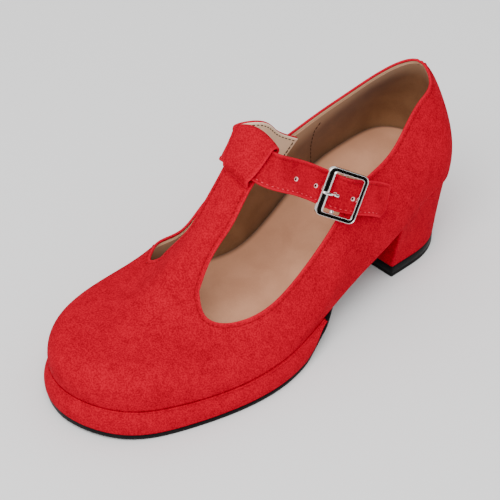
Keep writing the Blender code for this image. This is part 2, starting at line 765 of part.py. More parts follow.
def buckle_path(count):
    """A rounded rectangle, as runs along and across the strap."""
    a = (BUCKLE_WIDTH - BUCKLE_BAR) / 2
    b = (BUCKLE_HEIGHT - BUCKLE_BAR) / 2
    corner = 0.0028
    path = []
    for i, (x, y) in enumerate(((1, 1), (-1, 1), (-1, -1), (1, -1))):
        for t in np.linspace(0, math.pi / 2, count):
            angle = i * math.pi / 2 + t
            path.append((x * (a - corner) + corner * math.cos(angle), y * (b - corner) + corner * math.sin(angle)))
    return path


def build_buckle(material):
    """The frame follows the strap's curve; a centre bar behind the strap joins its long sides."""
    lift = STRAP_THICK / 2 + GAP + 0.0010
    path = buckle_path(5)
    points = [at_buckle(x, y, lift) for x, y in path]
    _, _, _, normal = strap_frame(strap_places["buckle"])
    rings = []
    for i, point in enumerate(points):
        ahead = unit(points[(i + 1) % len(points)] - points[i - 1])
        rings.append(round_section(point, unit(np.cross(ahead, normal)), normal, BUCKLE_BAR / 2, 0.0010))
    frame = add_sweep("buckle_frame", rings, material, closed=True)

    side = (BUCKLE_HEIGHT - BUCKLE_BAR) / 2
    drop = -(STRAP_THICK / 2 + GAP + CENTRE_BAR / 2)
    route = ((-side, lift), (-side, drop * 0.4), (-side * 0.97, drop * 0.85), (-side * 0.88, drop), (0.0, drop),
             (side * 0.88, drop), (side * 0.97, drop * 0.85), (side, drop * 0.4), (side, lift))
    spine = [at_buckle(0.0, a, b) for a, b in route]
    _, along, _, _ = strap_frame(strap_places["buckle"])
    rings = []
    for i, point in enumerate(spine):
        ahead = unit(spine[min(i + 1, len(spine) - 1)] - spine[max(i - 1, 0)])
        rings.append(round_section(point, along, np.cross(ahead, along), CENTRE_BAR / 2, CENTRE_BAR / 2))
    bar = add_sweep("centre_bar", rings, material)
    bar.hide_render = True
    bar.display_type = "WIRE"
    join = frame.modifiers.new("centre_bar", "BOOLEAN")
    join.operation = "UNION"
    join.object = bar
    return frame


def build_prong(material):
    """Tongue of the buckle, from the hole in the strap to rest on the front bar of the frame."""
    top = STRAP_THICK / 2 + GAP + PRONG / 2
    over = STRAP_THICK / 2 + GAP + 0.0020 + GAP + PRONG / 2
    start = -BUCKLE_WIDTH / 2
    route = ((-0.0010, top), (-0.0035, top + 0.0004), (-0.0055, over - 0.0004), (start + BUCKLE_BAR, over + 0.0002),
             (start + 0.0002, over))
    spine = [at_buckle(a, 0.0, b) for a, b in route]
    _, _, across, _ = strap_frame(strap_places["buckle"])
    rings = []
    for i, point in enumerate(spine):
        ahead = unit(spine[min(i + 1, len(spine) - 1)] - spine[max(i - 1, 0)])
        radius = PRONG / 2 * (1 - 0.25 * i / (len(spine) - 1))
        rings.append(round_section(point, across, np.cross(ahead, across), radius, radius))
    return add_sweep("buckle_prong", rings, material)


def build_tab(material):
    """Elastic and chape, from inside the lateral quarter to the buckle's centre bar."""
    half, thick = 0.0055, 0.0006
    _, _, across, normal = strap_frame(strap_places["buckle"])
    drop = -(STRAP_THICK / 2 + GAP + CENTRE_BAR + GAP + thick)
    rings = []
    route = ((-0.0016, drop), (0.0, drop), (0.0030, drop - 0.0012), (0.0060, drop - 0.0028), (0.0085, drop - 0.0048))
    for run, out in route:
        middle = at_buckle(run, 0.0030, out)
        rings.append([middle + across * a + normal * b
                      for a, b in ((-half, -thick), (half, -thick), (half, thick), (-half, thick))])
    return add_sweep("buckle_tab", rings, material)


def main():
    clear_scene()
    red = make_material("red_suede", (0.62, 0.012, 0.018), 0.85)
    beige = make_material("beige_lining", (0.50, 0.32, 0.20), 0.7)
    black = make_material("black_rubber", (0.012, 0.012, 0.012), 0.6)
    steel = make_material("polished_steel", (0.82, 0.80, 0.75), 0.15, 1.0)
    white = make_material("white_elastic", (0.8, 0.78, 0.74), 0.8)
    build_upper(red)
    build_insole(beige)
    build_platform(red)
    build_outsole(black)
    build_heel_block(red)
    build_top_piece(black)
    build_strap(red)
    build_buckle(steel)
    build_prong(steel)
    build_tab(white)


if __name__ == "__main__":
    main()
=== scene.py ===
import math

import bpy
import numpy as np
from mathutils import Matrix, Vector, kdtree


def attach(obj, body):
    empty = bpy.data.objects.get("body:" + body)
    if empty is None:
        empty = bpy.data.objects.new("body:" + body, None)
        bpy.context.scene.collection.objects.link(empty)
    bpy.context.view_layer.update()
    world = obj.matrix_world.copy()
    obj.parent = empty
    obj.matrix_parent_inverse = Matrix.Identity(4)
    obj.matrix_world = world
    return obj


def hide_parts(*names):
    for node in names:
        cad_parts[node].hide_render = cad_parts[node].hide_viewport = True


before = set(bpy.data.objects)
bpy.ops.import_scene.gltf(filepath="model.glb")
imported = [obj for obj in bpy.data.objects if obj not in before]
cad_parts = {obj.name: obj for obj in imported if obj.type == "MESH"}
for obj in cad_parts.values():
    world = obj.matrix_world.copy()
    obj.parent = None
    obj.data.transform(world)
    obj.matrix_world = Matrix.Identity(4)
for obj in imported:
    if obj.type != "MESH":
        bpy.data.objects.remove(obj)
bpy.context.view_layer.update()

# Left pump in red faux suede: toe to -Y, outer side of the foot to +X, floor at Z = 0, metres.

view = {
    "place": (0.4376, -0.4201, 0.5254),
    "facing": (-0.5676, 0.5335, -0.6270),
    "lens": 122.0,
}
studio = {
    "floor": (0.82, 0.82, 0.82),
    "sky": (1.0, 1.0, 1.0),
    "skyPower": 1.05,
    "keyPower": 24.0,
    "keyPlace": (0.42, -0.72, 1.28),
    "keySize": 1.1,
    "cardsFace": (0.03, 0.02, 0.07),
    "cards": (((0.62, 0.12, 0.27), 0.95, 0.55), ((0.05, 0.75, 0.32), 0.95, 0.42)),
}


def newObject(name, data):
    made = bpy.data.objects.new(name, data)
    bpy.context.scene.collection.objects.link(made)
    return made


def aim(made, place, facing, front="-Z"):
    made.location = place
    made.rotation_euler = Vector(facing).to_track_quat(front, "Y").to_euler()


def addCamera():
    lens = bpy.data.cameras.new("productCamera")
    lens.lens = view["lens"]
    lens.sensor_width = 36.0
    lens.clip_start = 0.02
    camera = newObject("productCamera", lens)
    aim(camera, view["place"], view["facing"])
    bpy.context.scene.camera = camera


addCamera()
print("camera set")


# Shader wiring

class Wire:  # a node socket that sums, scales and mixes like a number
    def __init__(self, tree, socket=None):
        self.tree = tree
        self.socket = socket

    def node(self, kind, settings=None, links=None, out=0):
        made = self.tree.nodes.new("ShaderNode" + kind)
        made.location = (-220 * (len(self.tree.nodes) % 12) - 300, -180 * (len(self.tree.nodes) // 12))
        for key, value in (settings or {}).items():
            setattr(made, key, value)
        for key, value in (links or {}).items():
            self.plug(made.inputs[key], value)
        return Wire(self.tree, made.outputs[out])

    def plug(self, socket, value):
        if isinstance(value, Wire):
            self.tree.links.new(value.socket, socket)
        elif hasattr(value, "__len__") and socket.type == "RGBA" and len(value) == 3:
            socket.default_value = (*value, 1.0)
        else:
            socket.default_value = value

    def sum(self, operation, *values, clamp=False):
        return self.node("Math", {"operation": operation, "use_clamp": clamp}, dict(enumerate(values)))

    def __add__(self, other):
        return self.sum("ADD", self, other)

    def __radd__(self, other):
        return self.sum("ADD", other, self)

    def __sub__(self, other):
        return self.sum("SUBTRACT", self, other)

    def __rsub__(self, other):
        return self.sum("SUBTRACT", other, self)

    def __mul__(self, other):
        return self.sum("MULTIPLY", self, other)

    def __abs__(self):
        return self.sum("ABSOLUTE", self)

    def clamp(self):
        return self.sum("ADD", self, 0.0, clamp=True)

    def ease(self, low, high):  # 0 below low, 1 above high
        return self.node("MapRange", {"interpolation_type": "SMOOTHSTEP"}, {0: self, 1: low, 2: high})

    def pick(self, first, second):  # colours by this mask: first at 0, second at 1
        return self.node("Mix", {"data_type": "RGBA"}, {0: self, 6: first, 7: second}, out=2)

    def stretched(self, factor):  # of a place
        return self.node("VectorMath", {"operation": "MULTIPLY"}, {0: self, 1: factor})

    def noise(self, scale, detail=2.0, rough=0.5, distort=0.0):
        links = {"Vector": self, "Scale": scale, "Detail": detail, "Roughness": rough, "Distortion": distort}
        return self.node("TexNoise", {"noise_dimensions": "3D"}, links)

    def cells(self, scale):
        return self.node("TexVoronoi", {"feature": "F1"}, {"Vector": self, "Scale": scale})

    def bump(self, strength, distance):
        return self.node("Bump", None, {"Height": self, "Strength": strength, "Distance": distance})


class Finish:  # a material whose fixed values sit on its own shader
    def __init__(self, name, fixed):
        self.material = bpy.data.materials.new(name)
        self.material.use_nodes = True
        self.shader = self.material.node_tree.nodes["Principled BSDF"]
        self.wire = Wire(self.material.node_tree)
        for key, value in fixed.items():
            self.wire.plug(self.shader.inputs[key], value)

    def place(self):
        return self.wire.node("TexCoord", None, None, out=3)

    def attribute(self, name):
        return self.wire.node("Attribute", {"attribute_name": name}, None, out=2)

    def set(self, **values):
        names = {"colour": "Base Color", "roughness": "Roughness", "normal": "Normal"}
        for key, value in values.items():
            self.wire.plug(self.shader.inputs[names[key]], value)
        return self.material


# Finishes

suede = {  # colours, and distances in metres
    "lit": (0.51, 0.0, 0.018),
    "deep": (0.24, 0.0, 0.007),
    # painted highlight: the pale colour below is laid on the sparkle and along the cut edges
    "wearAndPaintedHighlight": (0.74, 0.0, 0.034),
    "sheen": 0.02,
    "sheenTint": (1.0, 0.0, 0.03),
    "gloss": 0.03,
    "grainPerMetre": 1500.0,
    "grainDepth": 0.00018,
    "seam": 0.0019,  # stitch line in from the cut edge
    "seamHalf": 0.0007,
    # width of the painted highlight along the cut edge
    "rim": 0.0009,
}


def bareSuede(name):
    return Finish(name, {"Sheen Weight": suede["sheen"], "Sheen Roughness": 0.45,
                         "Sheen Tint": (*suede["sheenTint"], 1.0), "Specular IOR Level": suede["gloss"]})


def suedeFinish(name, stitched):
    finish = bareSuede(name)
    place = finish.place()
    grain = place.noise(suede["grainPerMetre"], 3.0, 0.62)
    fibres = place.noise(suede["grainPerMetre"] * 2.6, 2.0, 0.6)
    clouds = place.noise(55.0, 4.0, 0.55, 0.4)
    nap = place.noise(240.0, 3.0, 0.6, 0.3)
    shade = grain.ease(0.36, 0.64) * 0.66 + clouds.ease(0.30, 0.70) * 0.12 + nap.ease(0.30, 0.70) * 0.22
    shade = shade.clamp()
    colour = shade.pick(suede["deep"], suede["lit"])
    # painted highlight: pale sparkle dots over the nap
    paintedSparkle = place.cells(suede["grainPerMetre"] * 0.8).ease(0.20, 0.06) * nap.ease(0.45, 0.75)
    colour = (paintedSparkle * 0.35).pick(colour, suede["wearAndPaintedHighlight"])
    height = grain * 0.6 + fibres * 0.4
    if stitched:
        edge = finish.attribute("edge")
        # painted highlight: a pale band along the cut edge
        colour = (edge.ease(suede["rim"], 0.0001) * 0.25).pick(colour, suede["wearAndPaintedHighlight"])
        # painted shade: the stitch groove is darkened as well as bumped in
        paintedDarkChannel = abs(edge - suede["seam"]).ease(suede["seamHalf"], 0.0)
        colour = (paintedDarkChannel * 0.30).pick(colour, suede["deep"])
        height = height - paintedDarkChannel * 0.8
    bump = height.bump(0.6, suede["grainDepth"])
    return finish.set(colour=colour, roughness=0.94 - shade * 0.10, normal=bump)


lining = {  # painted shade: darkens from the collar down, its colours darkened for the shade inside the shoe
    "lit": (0.21, 0.095, 0.038),
    "deep": (0.14, 0.056, 0.019),
    "high": (0.56, 0.37, 0.22),
    "edge": (0.95, 0.62, 0.37),
    "edgeWidth": 0.0009,
}
sockLeather = {
    "lit": (0.60, 0.300, 0.175),
    "deep": (0.50, 0.235, 0.132),
    # painted shade: the sock darkens towards its border and is near black in the crevice at its edge
    "high": (0.46, 0.22, 0.12),
    "edge": (0.012, 0.004, 0.002),
    "edgeWidth": 0.0040,
}
strapLeather = {
    "lit": (0.84, 0.62, 0.43),
    "deep": (0.70, 0.49, 0.33),
    "high": (0.80, 0.58, 0.40),
    "edge": (0.95, 0.76, 0.56),
    "edgeWidth": 0.0009,
}


def liningFinish(name, recipe):
    finish = Finish(name, {"Specular IOR Level": 0.35, "Sheen Weight": 0.1})
    place = finish.place()
    pores = place.cells(1500.0)
    clouds = place.noise(70.0, 4.0, 0.55, 0.3)
    colour = (clouds.ease(0.3, 0.7) * 0.7 + pores * 0.3).pick(recipe["deep"], recipe["lit"])
    distance = finish.attribute("edge")
    # towards the edge the colour moves to high: on the lining the lighter collar above the painted shade, on
    # the sock painted shade at its border
    colour = (distance.ease(0.016, 0.002) * 0.6).pick(colour, recipe["high"])
    # the last edgeWidth takes the edge colour: on the sock painted shade in the crevice, on lining and
    # backing their pale cut edge
    colour = (distance.ease(recipe["edgeWidth"], 0.0003) * 0.85).pick(colour, recipe["edge"])
    height = pores * 0.6 + place.noise(900.0, 3.0, 0.6) * 0.4
    return finish.set(colour=colour, roughness=0.60 + clouds * 0.15, normal=height.bump(0.35, 0.00010))


rubber = {"base": (0.006, 0.006, 0.0065), "dust": (0.022, 0.020, 0.018)}


def rubberFinish(name, recipe):
    finish = Finish(name, {"Specular IOR Level": 0.06})
    place = finish.place()
    grain = place.cells(900.0)
    wear = place.noise(160.0, 4.0, 0.6).ease(0.50, 0.78)
    colour = (wear * 0.5).pick(recipe["base"], recipe["dust"])
    return finish.set(colour=colour, roughness=0.42 + wear * 0.3, normal=grain.bump(0.35, 0.00012))


# painted reflection: the near-black colour is laid in the frame's hollow for the dark studio it reflects
steel = {"bright": (0.93, 0.92, 0.90), "wearAndPaintedHighlight": (0.70, 0.68, 0.66), "paintedDarkChannel": (0.012, 0.010, 0.009)}


def steelFinish(name, recipe):
    finish = Finish(name, {"Metallic": 1.0})
    place = finish.place()
    # painted reflection: the frame's hollow painted near black
    paintedDarkChannel = finish.attribute("paintedDarkChannel").ease(0.25, 0.45)
    smear = place.noise(300.0, 3.0, 0.55).ease(0.35, 0.75)
    fine = place.stretched((1.0, 1.0, 6.0)).noise(1800.0, 2.0, 0.5)
    # the smeared tone is the steel's own wear
    colour = (smear * 0.4).pick(recipe["bright"], recipe["wearAndPaintedHighlight"])
    colour = paintedDarkChannel.pick(colour, recipe["paintedDarkChannel"])
    rough = 0.08 + smear * 0.07 + paintedDarkChannel * 0.15
    return finish.set(colour=colour, roughness=rough, normal=fine.bump(0.05, 0.00004))


threads = {
    "red": {"lit": (0.34, 0.0, 0.008), "deep": (0.16, 0.0, 0.003)},
    "pink": {"lit": (0.88, 0.05, 0.09), "deep": (0.60, 0.01, 0.03)},
    "dark": {"lit": (0.06, 0.03, 0.02), "deep": (0.015, 0.008, 0.005)},
}


def threadFinish(name, recipe):
    finish = Finish(name, {"Specular IOR Level": 0.1})
    twist = finish.place().noise(2600.0, 2.0, 0.5)
    colour = twist.ease(0.35, 0.6).pick(recipe["deep"], recipe["lit"])
    return finish.set(colour=colour, roughness=0.55 + twist * 0.2, normal=twist.bump(0.6, 0.00008))


elastic = {"lit": (0.50, 0.33, 0.20), "deep": (0.34, 0.21, 0.12)}


def elasticFinish(name, recipe):
    finish = Finish(name, {"Sheen Weight": 0.2})
    rib = finish.place().noise(1400.0, 3.0, 0.6)
    colour = rib.ease(0.35, 0.65).pick(recipe["deep"], recipe["lit"])
    return finish.set(colour=colour, roughness=0.75 + rib * 0.1, normal=rib.bump(0.5, 0.0001))


def floorFinish():
    finish = Finish("paleFloor", {"Roughness": 0.9, "Specular IOR Level": 0.1})
    lighter = tuple(c * 1.01 for c in studio["floor"])
    return finish.set(colour=finish.place().noise(3.0, 2.0).pick(studio["floor"], lighter))


redSuede = suedeFinish("redSuede", True)
redSuedePlain = suedeFinish("redSuedePlain", False)
beigeLining = liningFinish("beigeLining", lining)
sockFinish = liningFinish("sockLeather", sockLeather)
backingFinish = liningFinish("strapLeather", strapLeather)
blackRubber = rubberFinish("blackRubber", rubber)
polishedSteel = steelFinish("polishedSteel", steel)
redThread = threadFinish("redThread", threads["red"])
pinkThread = threadFinish("pinkThread", threads["pink"])
darkThread = threadFinish("darkThread", threads["dark"])
tanElastic = elasticFinish("tanElastic", elastic)
paleFloor = floorFinish()
print("finishes made")


# The last's sizes: its tables give the place along the last in per cent of the length from the heel's back,
# sideways in per cent of the ball width, and heights in per cent of the collar height

sizes = {
    "length": 0.2325, "middle": 0.5107, "ballWidth": 0.0900, "collarHeight": 0.0950,
    "gap": 0.0003, "margin": 0.0075, "featherRadius": 0.0024,
    "outsole": 0.0025, "lip": 0.0028, "toeSpring": 0.0018,
    "topPiece": 0.0062, "topPieceWidth": 0.0545, "heelBack": 4.3, "breast": 24.3,
    "treadFront": 85.0, "treadBack": 57.5, "waistJoin": 46.5,
}

# along, lateral, medial, swell, rise, flare, crown, reach and drop lateral, reach and drop medial, turn
ribs = (
    (3.0, -5.3, 5.3, 6.0, 22.5, 0.0, -1.0, 16.5, 6.0, 16.5, 6.0, 0),
    (6.5, 22.6, 28.8, 5.0, 25.5, 0.0, 0.5, 7.5, 10.5, 6.5, 12.0, 22),
    (14.6, 28.9, 34.6, 3.5, 24.5, 0.0, 0.5, 4.0, 13.0, 1.5, 15.5, 50),
    (25.8, 35.0, 35.7, 2.5, 22.5, -1.0, -0.5, 6.0, 20.5, 4.0, 19.5, 75),
    (37.9, 35.5, 32.3, 2.0, 18.0, -0.5, -1.5, 21.5, 33.5, 13.0, 32.5, 98),
    (49.5, 38.5, 31.9, 1.0, 11.5, 2.0, -3.0, 30.0, 63.0, 21.0, 54.5, 118),
    (61.1, 45.9, 40.3, -1.0, 5.0, 3.5, -1.0, 29.5, 73.0, 30.5, 63.0, 136),
    (73.1, 44.9, 47.6, 0.5, 6.5, 5.5, 5.0, 29.0, 81.0, 26.5, 77.0, 150),
    (86.0, 35.1, 43.7, 2.0, 20.5, 6.5, 13.5, 25.0, 97.0, 34.0, 86.0, 162),
    (95.1, 20.8, 34.0, 3.5, 31.5, 3.0, 15.0, 25.5, 97.5, 28.0, 92.5, 171),
    (99.4, -8.7, 8.7, 7.0, 30.0, 0.0, 10.0, 32.5, 83.5, 32.5, 83.5, 180),
)
ring = {"back": (8.8, -3.8, 101.6), "front": (62.3, -6.4, 96.8), "halfWidth": 16.5}  # along, side, height
bottomLine = (  # along, height of the feather line
    (1.0, 42.0), (19.5, 38.0), (28.0, 33.0), (34.5, 26.5), (41.0, 19.5),
    (47.5, 14.0), (56.0, 12.5), (69.0, 12.5), (86.0, 13.5), (99.9, 16.7),
)
rimLine = (  # along, side, height, foot: lateral cut-out, collar, medial cut-out
    (70.8, 7.2, 45.2, 46.5), (71.9, 15.3, 36.0, 43.8), (65.5, 30.0, 34.9, 37.0), (54.5, 31.3, 41.8, 30.0),
    (45.3, 30.0, 56.5, 24.5), (38.5, 28.8, 69.5, 20.5), (24.5, 21.9, 75.5, 13.8), (12.5, 12.5, 88.2, 7.0),
    (6.6, 5.7, 91.6, 3.4), (5.9, -1.5, 96.8, 0.6), (13.0, -15.5, 91.8, -6.0), (25.0, -25.0, 80.0, -12.5),
    (35.0, -28.8, 71.0, -18.0), (47.0, -33.5, 63.5, -24.5), (56.0, -37.0, 50.0, -30.0),
    (67.3, -35.6, 42.4, -37.5), (70.3, -32.0, 41.8, -42.2), (70.0, -24.0, 47.2, -45.6),
)
barLine = (  # along, side, height, half width of the T-bar
    (72.1, -5.0, 50.0, 14.5), (69.5, -3.0, 56.5, 12.0), (67.0, -2.4, 62.5, 11.0), (63.5, -2.7, 71.0, 10.8),
    (59.8, -3.8, 79.5, 10.5), (55.8, -5.3, 88.0, 10.6), (52.8, -5.5, 94.6, 12.0), (50.8, -5.4, 98.9, 12.7),
)
bar = {
    "crown": 0.0012, "foldCrown": 0.0016, "arch": 0.0026, "blend": 0.5,
    "strapLow": 0.768, "strapHigh": 1.026, "strapArch": 0.3,
    "fold": 0.0020, "foldShare": 0.2,
    "flapEnd": 0.736, "flapTaper": 0.33, "flapShift": 0.0019, "flapSkew": 0.0006,
}
strapLine = (  # lower along, side, height, upper along, side, height, stand, half widths across the bar
    ("medialEnd", 35.2, -33.7, 56.9, 33.1, -29.8, 72.4, -0.0033, None),
    ("medialEdge", 43.1, -27.6, 71.0, 38.6, -25.0, 83.0, None, None),
    ("medialSide", 47.4, -23.6, 82.0, 45.2, -21.8, 97.0, None, None),
    ("loopMedial", None, None, None, None, None, None, None, -1.1),
    ("loopInner", None, None, None, None, None, None, None, -0.65),
    ("loop", None, None, None, None, None, None, None, 0.0),
    ("loopLateral", None, None, None, None, None, None, None, 1.1),
    ("lateralSide", 52.1, 15.8, 82.5, 46.5, 12.4, 94.5, None, None),
    ("beforeBuckle", 46.9, 21.4, 73.6, 41.4, 18.6, 86.0, None, None),
    ("buckle", 43.4, 28.2, 67.4, 39.0, 26.9, 82.2, None, None),
    ("quarter", 36.8, 32.5, 58.5, 31.7, 27.5, 71.5, 0.0040, None),
    ("tailEnd", 33.0, 34.8, 54.9, 27.8, 31.6, 64.9, 0.0028, None),
)


def alongY(along):
    return sizes["length"] * (sizes["middle"] - np.asarray(along, float) / 100)


def yAlong(y):
    return 100 * (sizes["middle"] - np.asarray(y) / sizes["length"])


def sideX(side):
    return sizes["ballWidth"] * np.asarray(side, float) / 100


def heightZ(height):
    return sizes["collarHeight"] * np.asarray(height, float) / 100


def spot(along, side, height):
    return np.array([sideX(side), alongY(along), heightZ(height)])


def ease(t):
    t = np.clip(t, 0.0, 1.0)
    return t * t * (3 - 2 * t)


def unit(vectors):
    return vectors / np.maximum(np.linalg.norm(vectors, axis=-1, keepdims=True), 1e-12)


def turnedOut(along, line, centre):  # flat directions square to a line, away from the centre
    outward = np.column_stack([along[:, 1], -along[:, 0]])
    return outward * np.sign(np.sum(outward * (line - centre)))


def spline(knots, values, closed=False):  # cubic through the values, natural or periodic
    x = np.asarray(knots, float)
    y = np.asarray(values, float)
    shape = y.shape[1:]
    y = y.reshape(len(y), -1)
    n = len(x)
    h = np.diff(x)
    slope = np.diff(y, axis=0) / h[:, None]
    matrix = np.zeros((n, n))
    right = np.zeros_like(y)
    for i in range(1, n - 1):
        matrix[i, i - 1:i + 2] = h[i - 1], 2 * (h[i - 1] + h[i]), h[i]
        right[i] = 6 * (slope[i] - slope[i - 1])
    if closed:
        matrix[0, 0], matrix[0, -1] = 1, -1
        matrix[-1, -2], matrix[-1, 1] = h[-1], h[0]
        matrix[-1, -1] = 2 * (h[-1] + h[0])
        right[-1] = 6 * (slope[0] - slope[-1])
    else:
        matrix[0, 0] = matrix[-1, -1] = 1
    bend = np.linalg.solve(matrix, right)

    def at(t):
        t = np.asarray(t, float)
        if closed:
            t = x[0] + (t - x[0]) % (x[-1] - x[0])
        i = np.clip(np.searchsorted(x, t, side="right") - 1, 0, n - 2)
        a = (x[i + 1] - t)[..., None]
        b = (t - x[i])[..., None]
        step = h[i][..., None]
        found = (bend[i] * a**3 + bend[i + 1] * b**3) / (6 * step)
        found += (y[i] / step - bend[i] * step / 6) * a + (y[i + 1] / step - bend[i + 1] * step / 6) * b
        return found.reshape(t.shape + shape)

    return at


def chordKnots(points, power=1.0):
    steps = np.linalg.norm(np.diff(points, axis=0), axis=1) ** power
    knots = np.concatenate([[0], np.cumsum(steps)])
    return knots / knots[-1]


bottomSpline = spline([row[0] for row in bottomLine], heightZ([row[1] for row in bottomLine]))


def featherHeight(y):
    return bottomSpline(np.clip(yAlong(y), bottomLine[0][0], bottomLine[-1][0]))


def makeRibs():
    ordered = [(row, 1) for row in ribs] + [(row, -1) for row in ribs[-2:0:-1]]
    ordered.append(ordered[0])
    feet = []
    for row, sign in ordered:
        y = alongY(row[0])
        feet.append([sideX(row[1] if sign > 0 else -row[2]), y, featherHeight(y)])
    feet = np.array(feet, float)
    knots = chordKnots(feet[:, :2], 0.5)
    ahead = spline(knots, feet, closed=True)
    slope = unit((ahead(knots + 1e-4) - ahead(knots - 1e-4))[:, :2])
    outward = turnedOut(slope, feet[:, :2], feet[:, :2].mean(axis=0))
    outward = np.column_stack([outward, np.zeros(len(slope))])
    up = np.array([0.0, 0.0, 1.0])
    control = []
    for i, (row, sign) in enumerate(ordered):
        swell, rise, flare, crown, outLateral, downLateral, outMedial, downMedial = heightZ(row[3:11])
        reach, drop = (outLateral, downLateral) if sign > 0 else (outMedial, downMedial)
        turn = math.radians(row[11])
        share = 0.5 - 0.5 * math.cos(turn)
        along, side, height = (a + (b - a) * share for a, b in zip(ring["back"], ring["front"]))
        top = spot(along, side + sign * ring["halfWidth"] * math.sin(turn), height)
        low = feet[i] + outward[i] * swell + up * rise
        high = top + outward[i] * reach - up * drop
        control.append([feet[i], low, (low + high) / 2 + outward[i] * flare + up * crown, high, top])
    return spline(knots, np.array(control), closed=True)


ribAt = makeRibs()


def lastPoint(u, v):
    u, v = np.broadcast_arrays(np.asarray(u, float), np.asarray(v, float))
    w = 1 - v
    weights = np.stack([w**4, 4 * v * w**3, 6 * v**2 * w**2, 4 * v**3 * w, v**4], axis=-1)
    return np.einsum("...k,...kc->...c", weights, ribAt(u))


def lastSlopes(u, v):
    step = 1e-4
    return ((lastPoint(u + step, v) - lastPoint(u - step, v)) / (2 * step),
            (lastPoint(u, v + step) - lastPoint(u, v - step)) / (2 * step))


def lastNormal(u, v):
    alongU, alongV = lastSlopes(u, v)
    return unit(np.cross(alongV, alongU))


def onLast(points):
    points = np.atleast_2d(points)
    u, v = np.meshgrid(np.linspace(0, 1, 180, endpoint=False), np.linspace(0.02, 0.98, 49), indexing="ij")
    grid = lastPoint(u, v).reshape(-1, 3)
    nearest = [np.argmin(((grid - point) ** 2).sum(axis=1)) for point in points]
    found = np.column_stack([u.ravel()[nearest], v.ravel()[nearest]])
    steps = np.array([(i, j) for i in (-1, 0, 1) for j in (-1, 0, 1)], float)
    reach = np.array([1 / 180, 0.02])
    for _ in range(14):
        tried = found[:, None, :] + steps * reach
        tried[..., 1] = np.clip(tried[..., 1], 0.0, 1.0)
        apart = ((lastPoint(tried[..., 0], tried[..., 1]) - points[:, None, :]) ** 2).sum(axis=2)
        found = tried[np.arange(len(points)), np.argmin(apart, axis=1)]
        reach = reach * 0.62
    return found


def makeBar():
    points = np.array([[*spot(*row[:3]), sideX(row[3])] for row in barLine])
    return spline(chordKnots(points[:, :3]), points)


barAt = makeBar()


def barFrame(s):  # middle, half width, upward tangent, outward normal
    s = np.asarray(s, float)
    found = barAt(s)
    tangent = unit(barAt(s + 1e-3)[..., :3] - barAt(s - 1e-3)[..., :3])
    return found[..., :3], found[..., 3], tangent, -unit(np.cross(tangent, np.array([1.0, 0.0, 0.0])))


def barCrown(s):  # the bar is nearly flat low down and domed at its fold
    return bar["crown"] + bar["foldCrown"] * ease((s - 0.5) / 0.5)


def barArch(s):
    return bar["arch"] * ease((s - 0.6) / 0.4)


def makeStrap():
    edges = []
    for name, *numbers, stand, acrossBar in strapLine:
        if acrossBar is not None:
            pair = []
            for s in (bar["strapLow"], bar["strapHigh"]):
                middle, half, tangent, normal = barFrame(s)
                lift = bar["fold"] + barCrown(s) * (1 - acrossBar**2)
                rise = bar["arch"] * bar["strapArch"] * (1 - acrossBar**2)
                pair.append(middle + np.array([acrossBar * half, 0, 0]) + normal * lift + tangent * rise)
        else:
            pair = [spot(*numbers[:3]), spot(*numbers[3:])]
        if stand is not None:
            u, v = onLast(np.array(pair)).T
            pair = lastPoint(u, v) + lastNormal(u, v) * stand
        edges.append(pair)
    edges = np.array(edges)
    middles = edges.mean(axis=1)
    knots = chordKnots(middles)
    length = np.linalg.norm(np.diff(middles, axis=0), axis=1).sum()
    return (spline(knots, edges[:, 0]), spline(knots, edges[:, 1]), length,
            {row[0]: knot for row, knot in zip(strapLine, knots)})


strapLow, strapHigh, strapLength, strapPlaces = makeStrap()


def strapFrame(s):  # middle, tangent to the tail, across upwards, outward normal
    middle = (strapLow(s) + strapHigh(s)) / 2
    step = 1e-3
    ahead = strapLow(s + step) + strapHigh(s + step)
    tangent = unit((ahead - strapLow(s - step) - strapHigh(s - step)) / 2)
    across = strapHigh(s) - strapLow(s)
    across = unit(across - tangent * np.sum(across * tangent, axis=-1, keepdims=True))
    return middle, tangent, across, unit(np.cross(tangent, across))


def atBuckle(run, across, out):
    middle, tangent, width, normal = strapFrame(strapPlaces["buckle"])
    return middle + tangent * run + width * across + normal * out


print("last ready")


# Mesh helpers

def newMesh(name, points, faces, finish):
    mesh = bpy.data.meshes.new(name)
    mesh.from_pydata(np.asarray(points, float).tolist(), [], [tuple(int(i) for i in face) for face in faces])
    mesh.validate()
    mesh.materials.append(finish)
    return mesh


def addPiece(name, points, faces, finish, stands=(), marks=None):
    mesh = newMesh(name, points, faces, finish)
    mesh.shade_smooth()
    for key, values in (marks or {}).items():
        made = mesh.attributes.new(key, "FLOAT", "POINT")
        made.data.foreach_set("value", np.asarray(values, np.float32))
    piece = newObject(name, mesh)
    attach(piece, "root")
    if stands:
        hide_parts(*stands)


def gridFaces(rows, columns, closed=False):
    faces = []
    for i in range(rows - 1):
        for j in range(columns if closed else columns - 1):
            k = (j + 1) % columns
            faces.append((i * columns + j, i * columns + k, (i + 1) * columns + k, (i + 1) * columns + j))
    return faces


def endFaces(rows, columns):
    return [tuple(range(columns))[::-1], tuple(range((rows - 1) * columns, rows * columns))]


def lastToFirst(rows, columns):
    start = (rows - 1) * columns
    return [(start + j, start + (j + 1) % columns, (j + 1) % columns, j) for j in range(columns)]


def outlineNormals(line):  # outward from a closed flat outline
    along = unit(np.roll(line, -1, axis=0) - np.roll(line, 1, axis=0))
    return turnedOut(along, line, line.mean(axis=0))


def sheetNormals(points, faces):
    quads = np.array(faces)
    cross = np.cross(points[quads[:, 2]] - points[quads[:, 0]], points[quads[:, 3]] - points[quads[:, 1]])
    normals = np.zeros_like(points)
    for corner in range(4):
        np.add.at(normals, quads[:, corner], cross)
    return unit(normals)


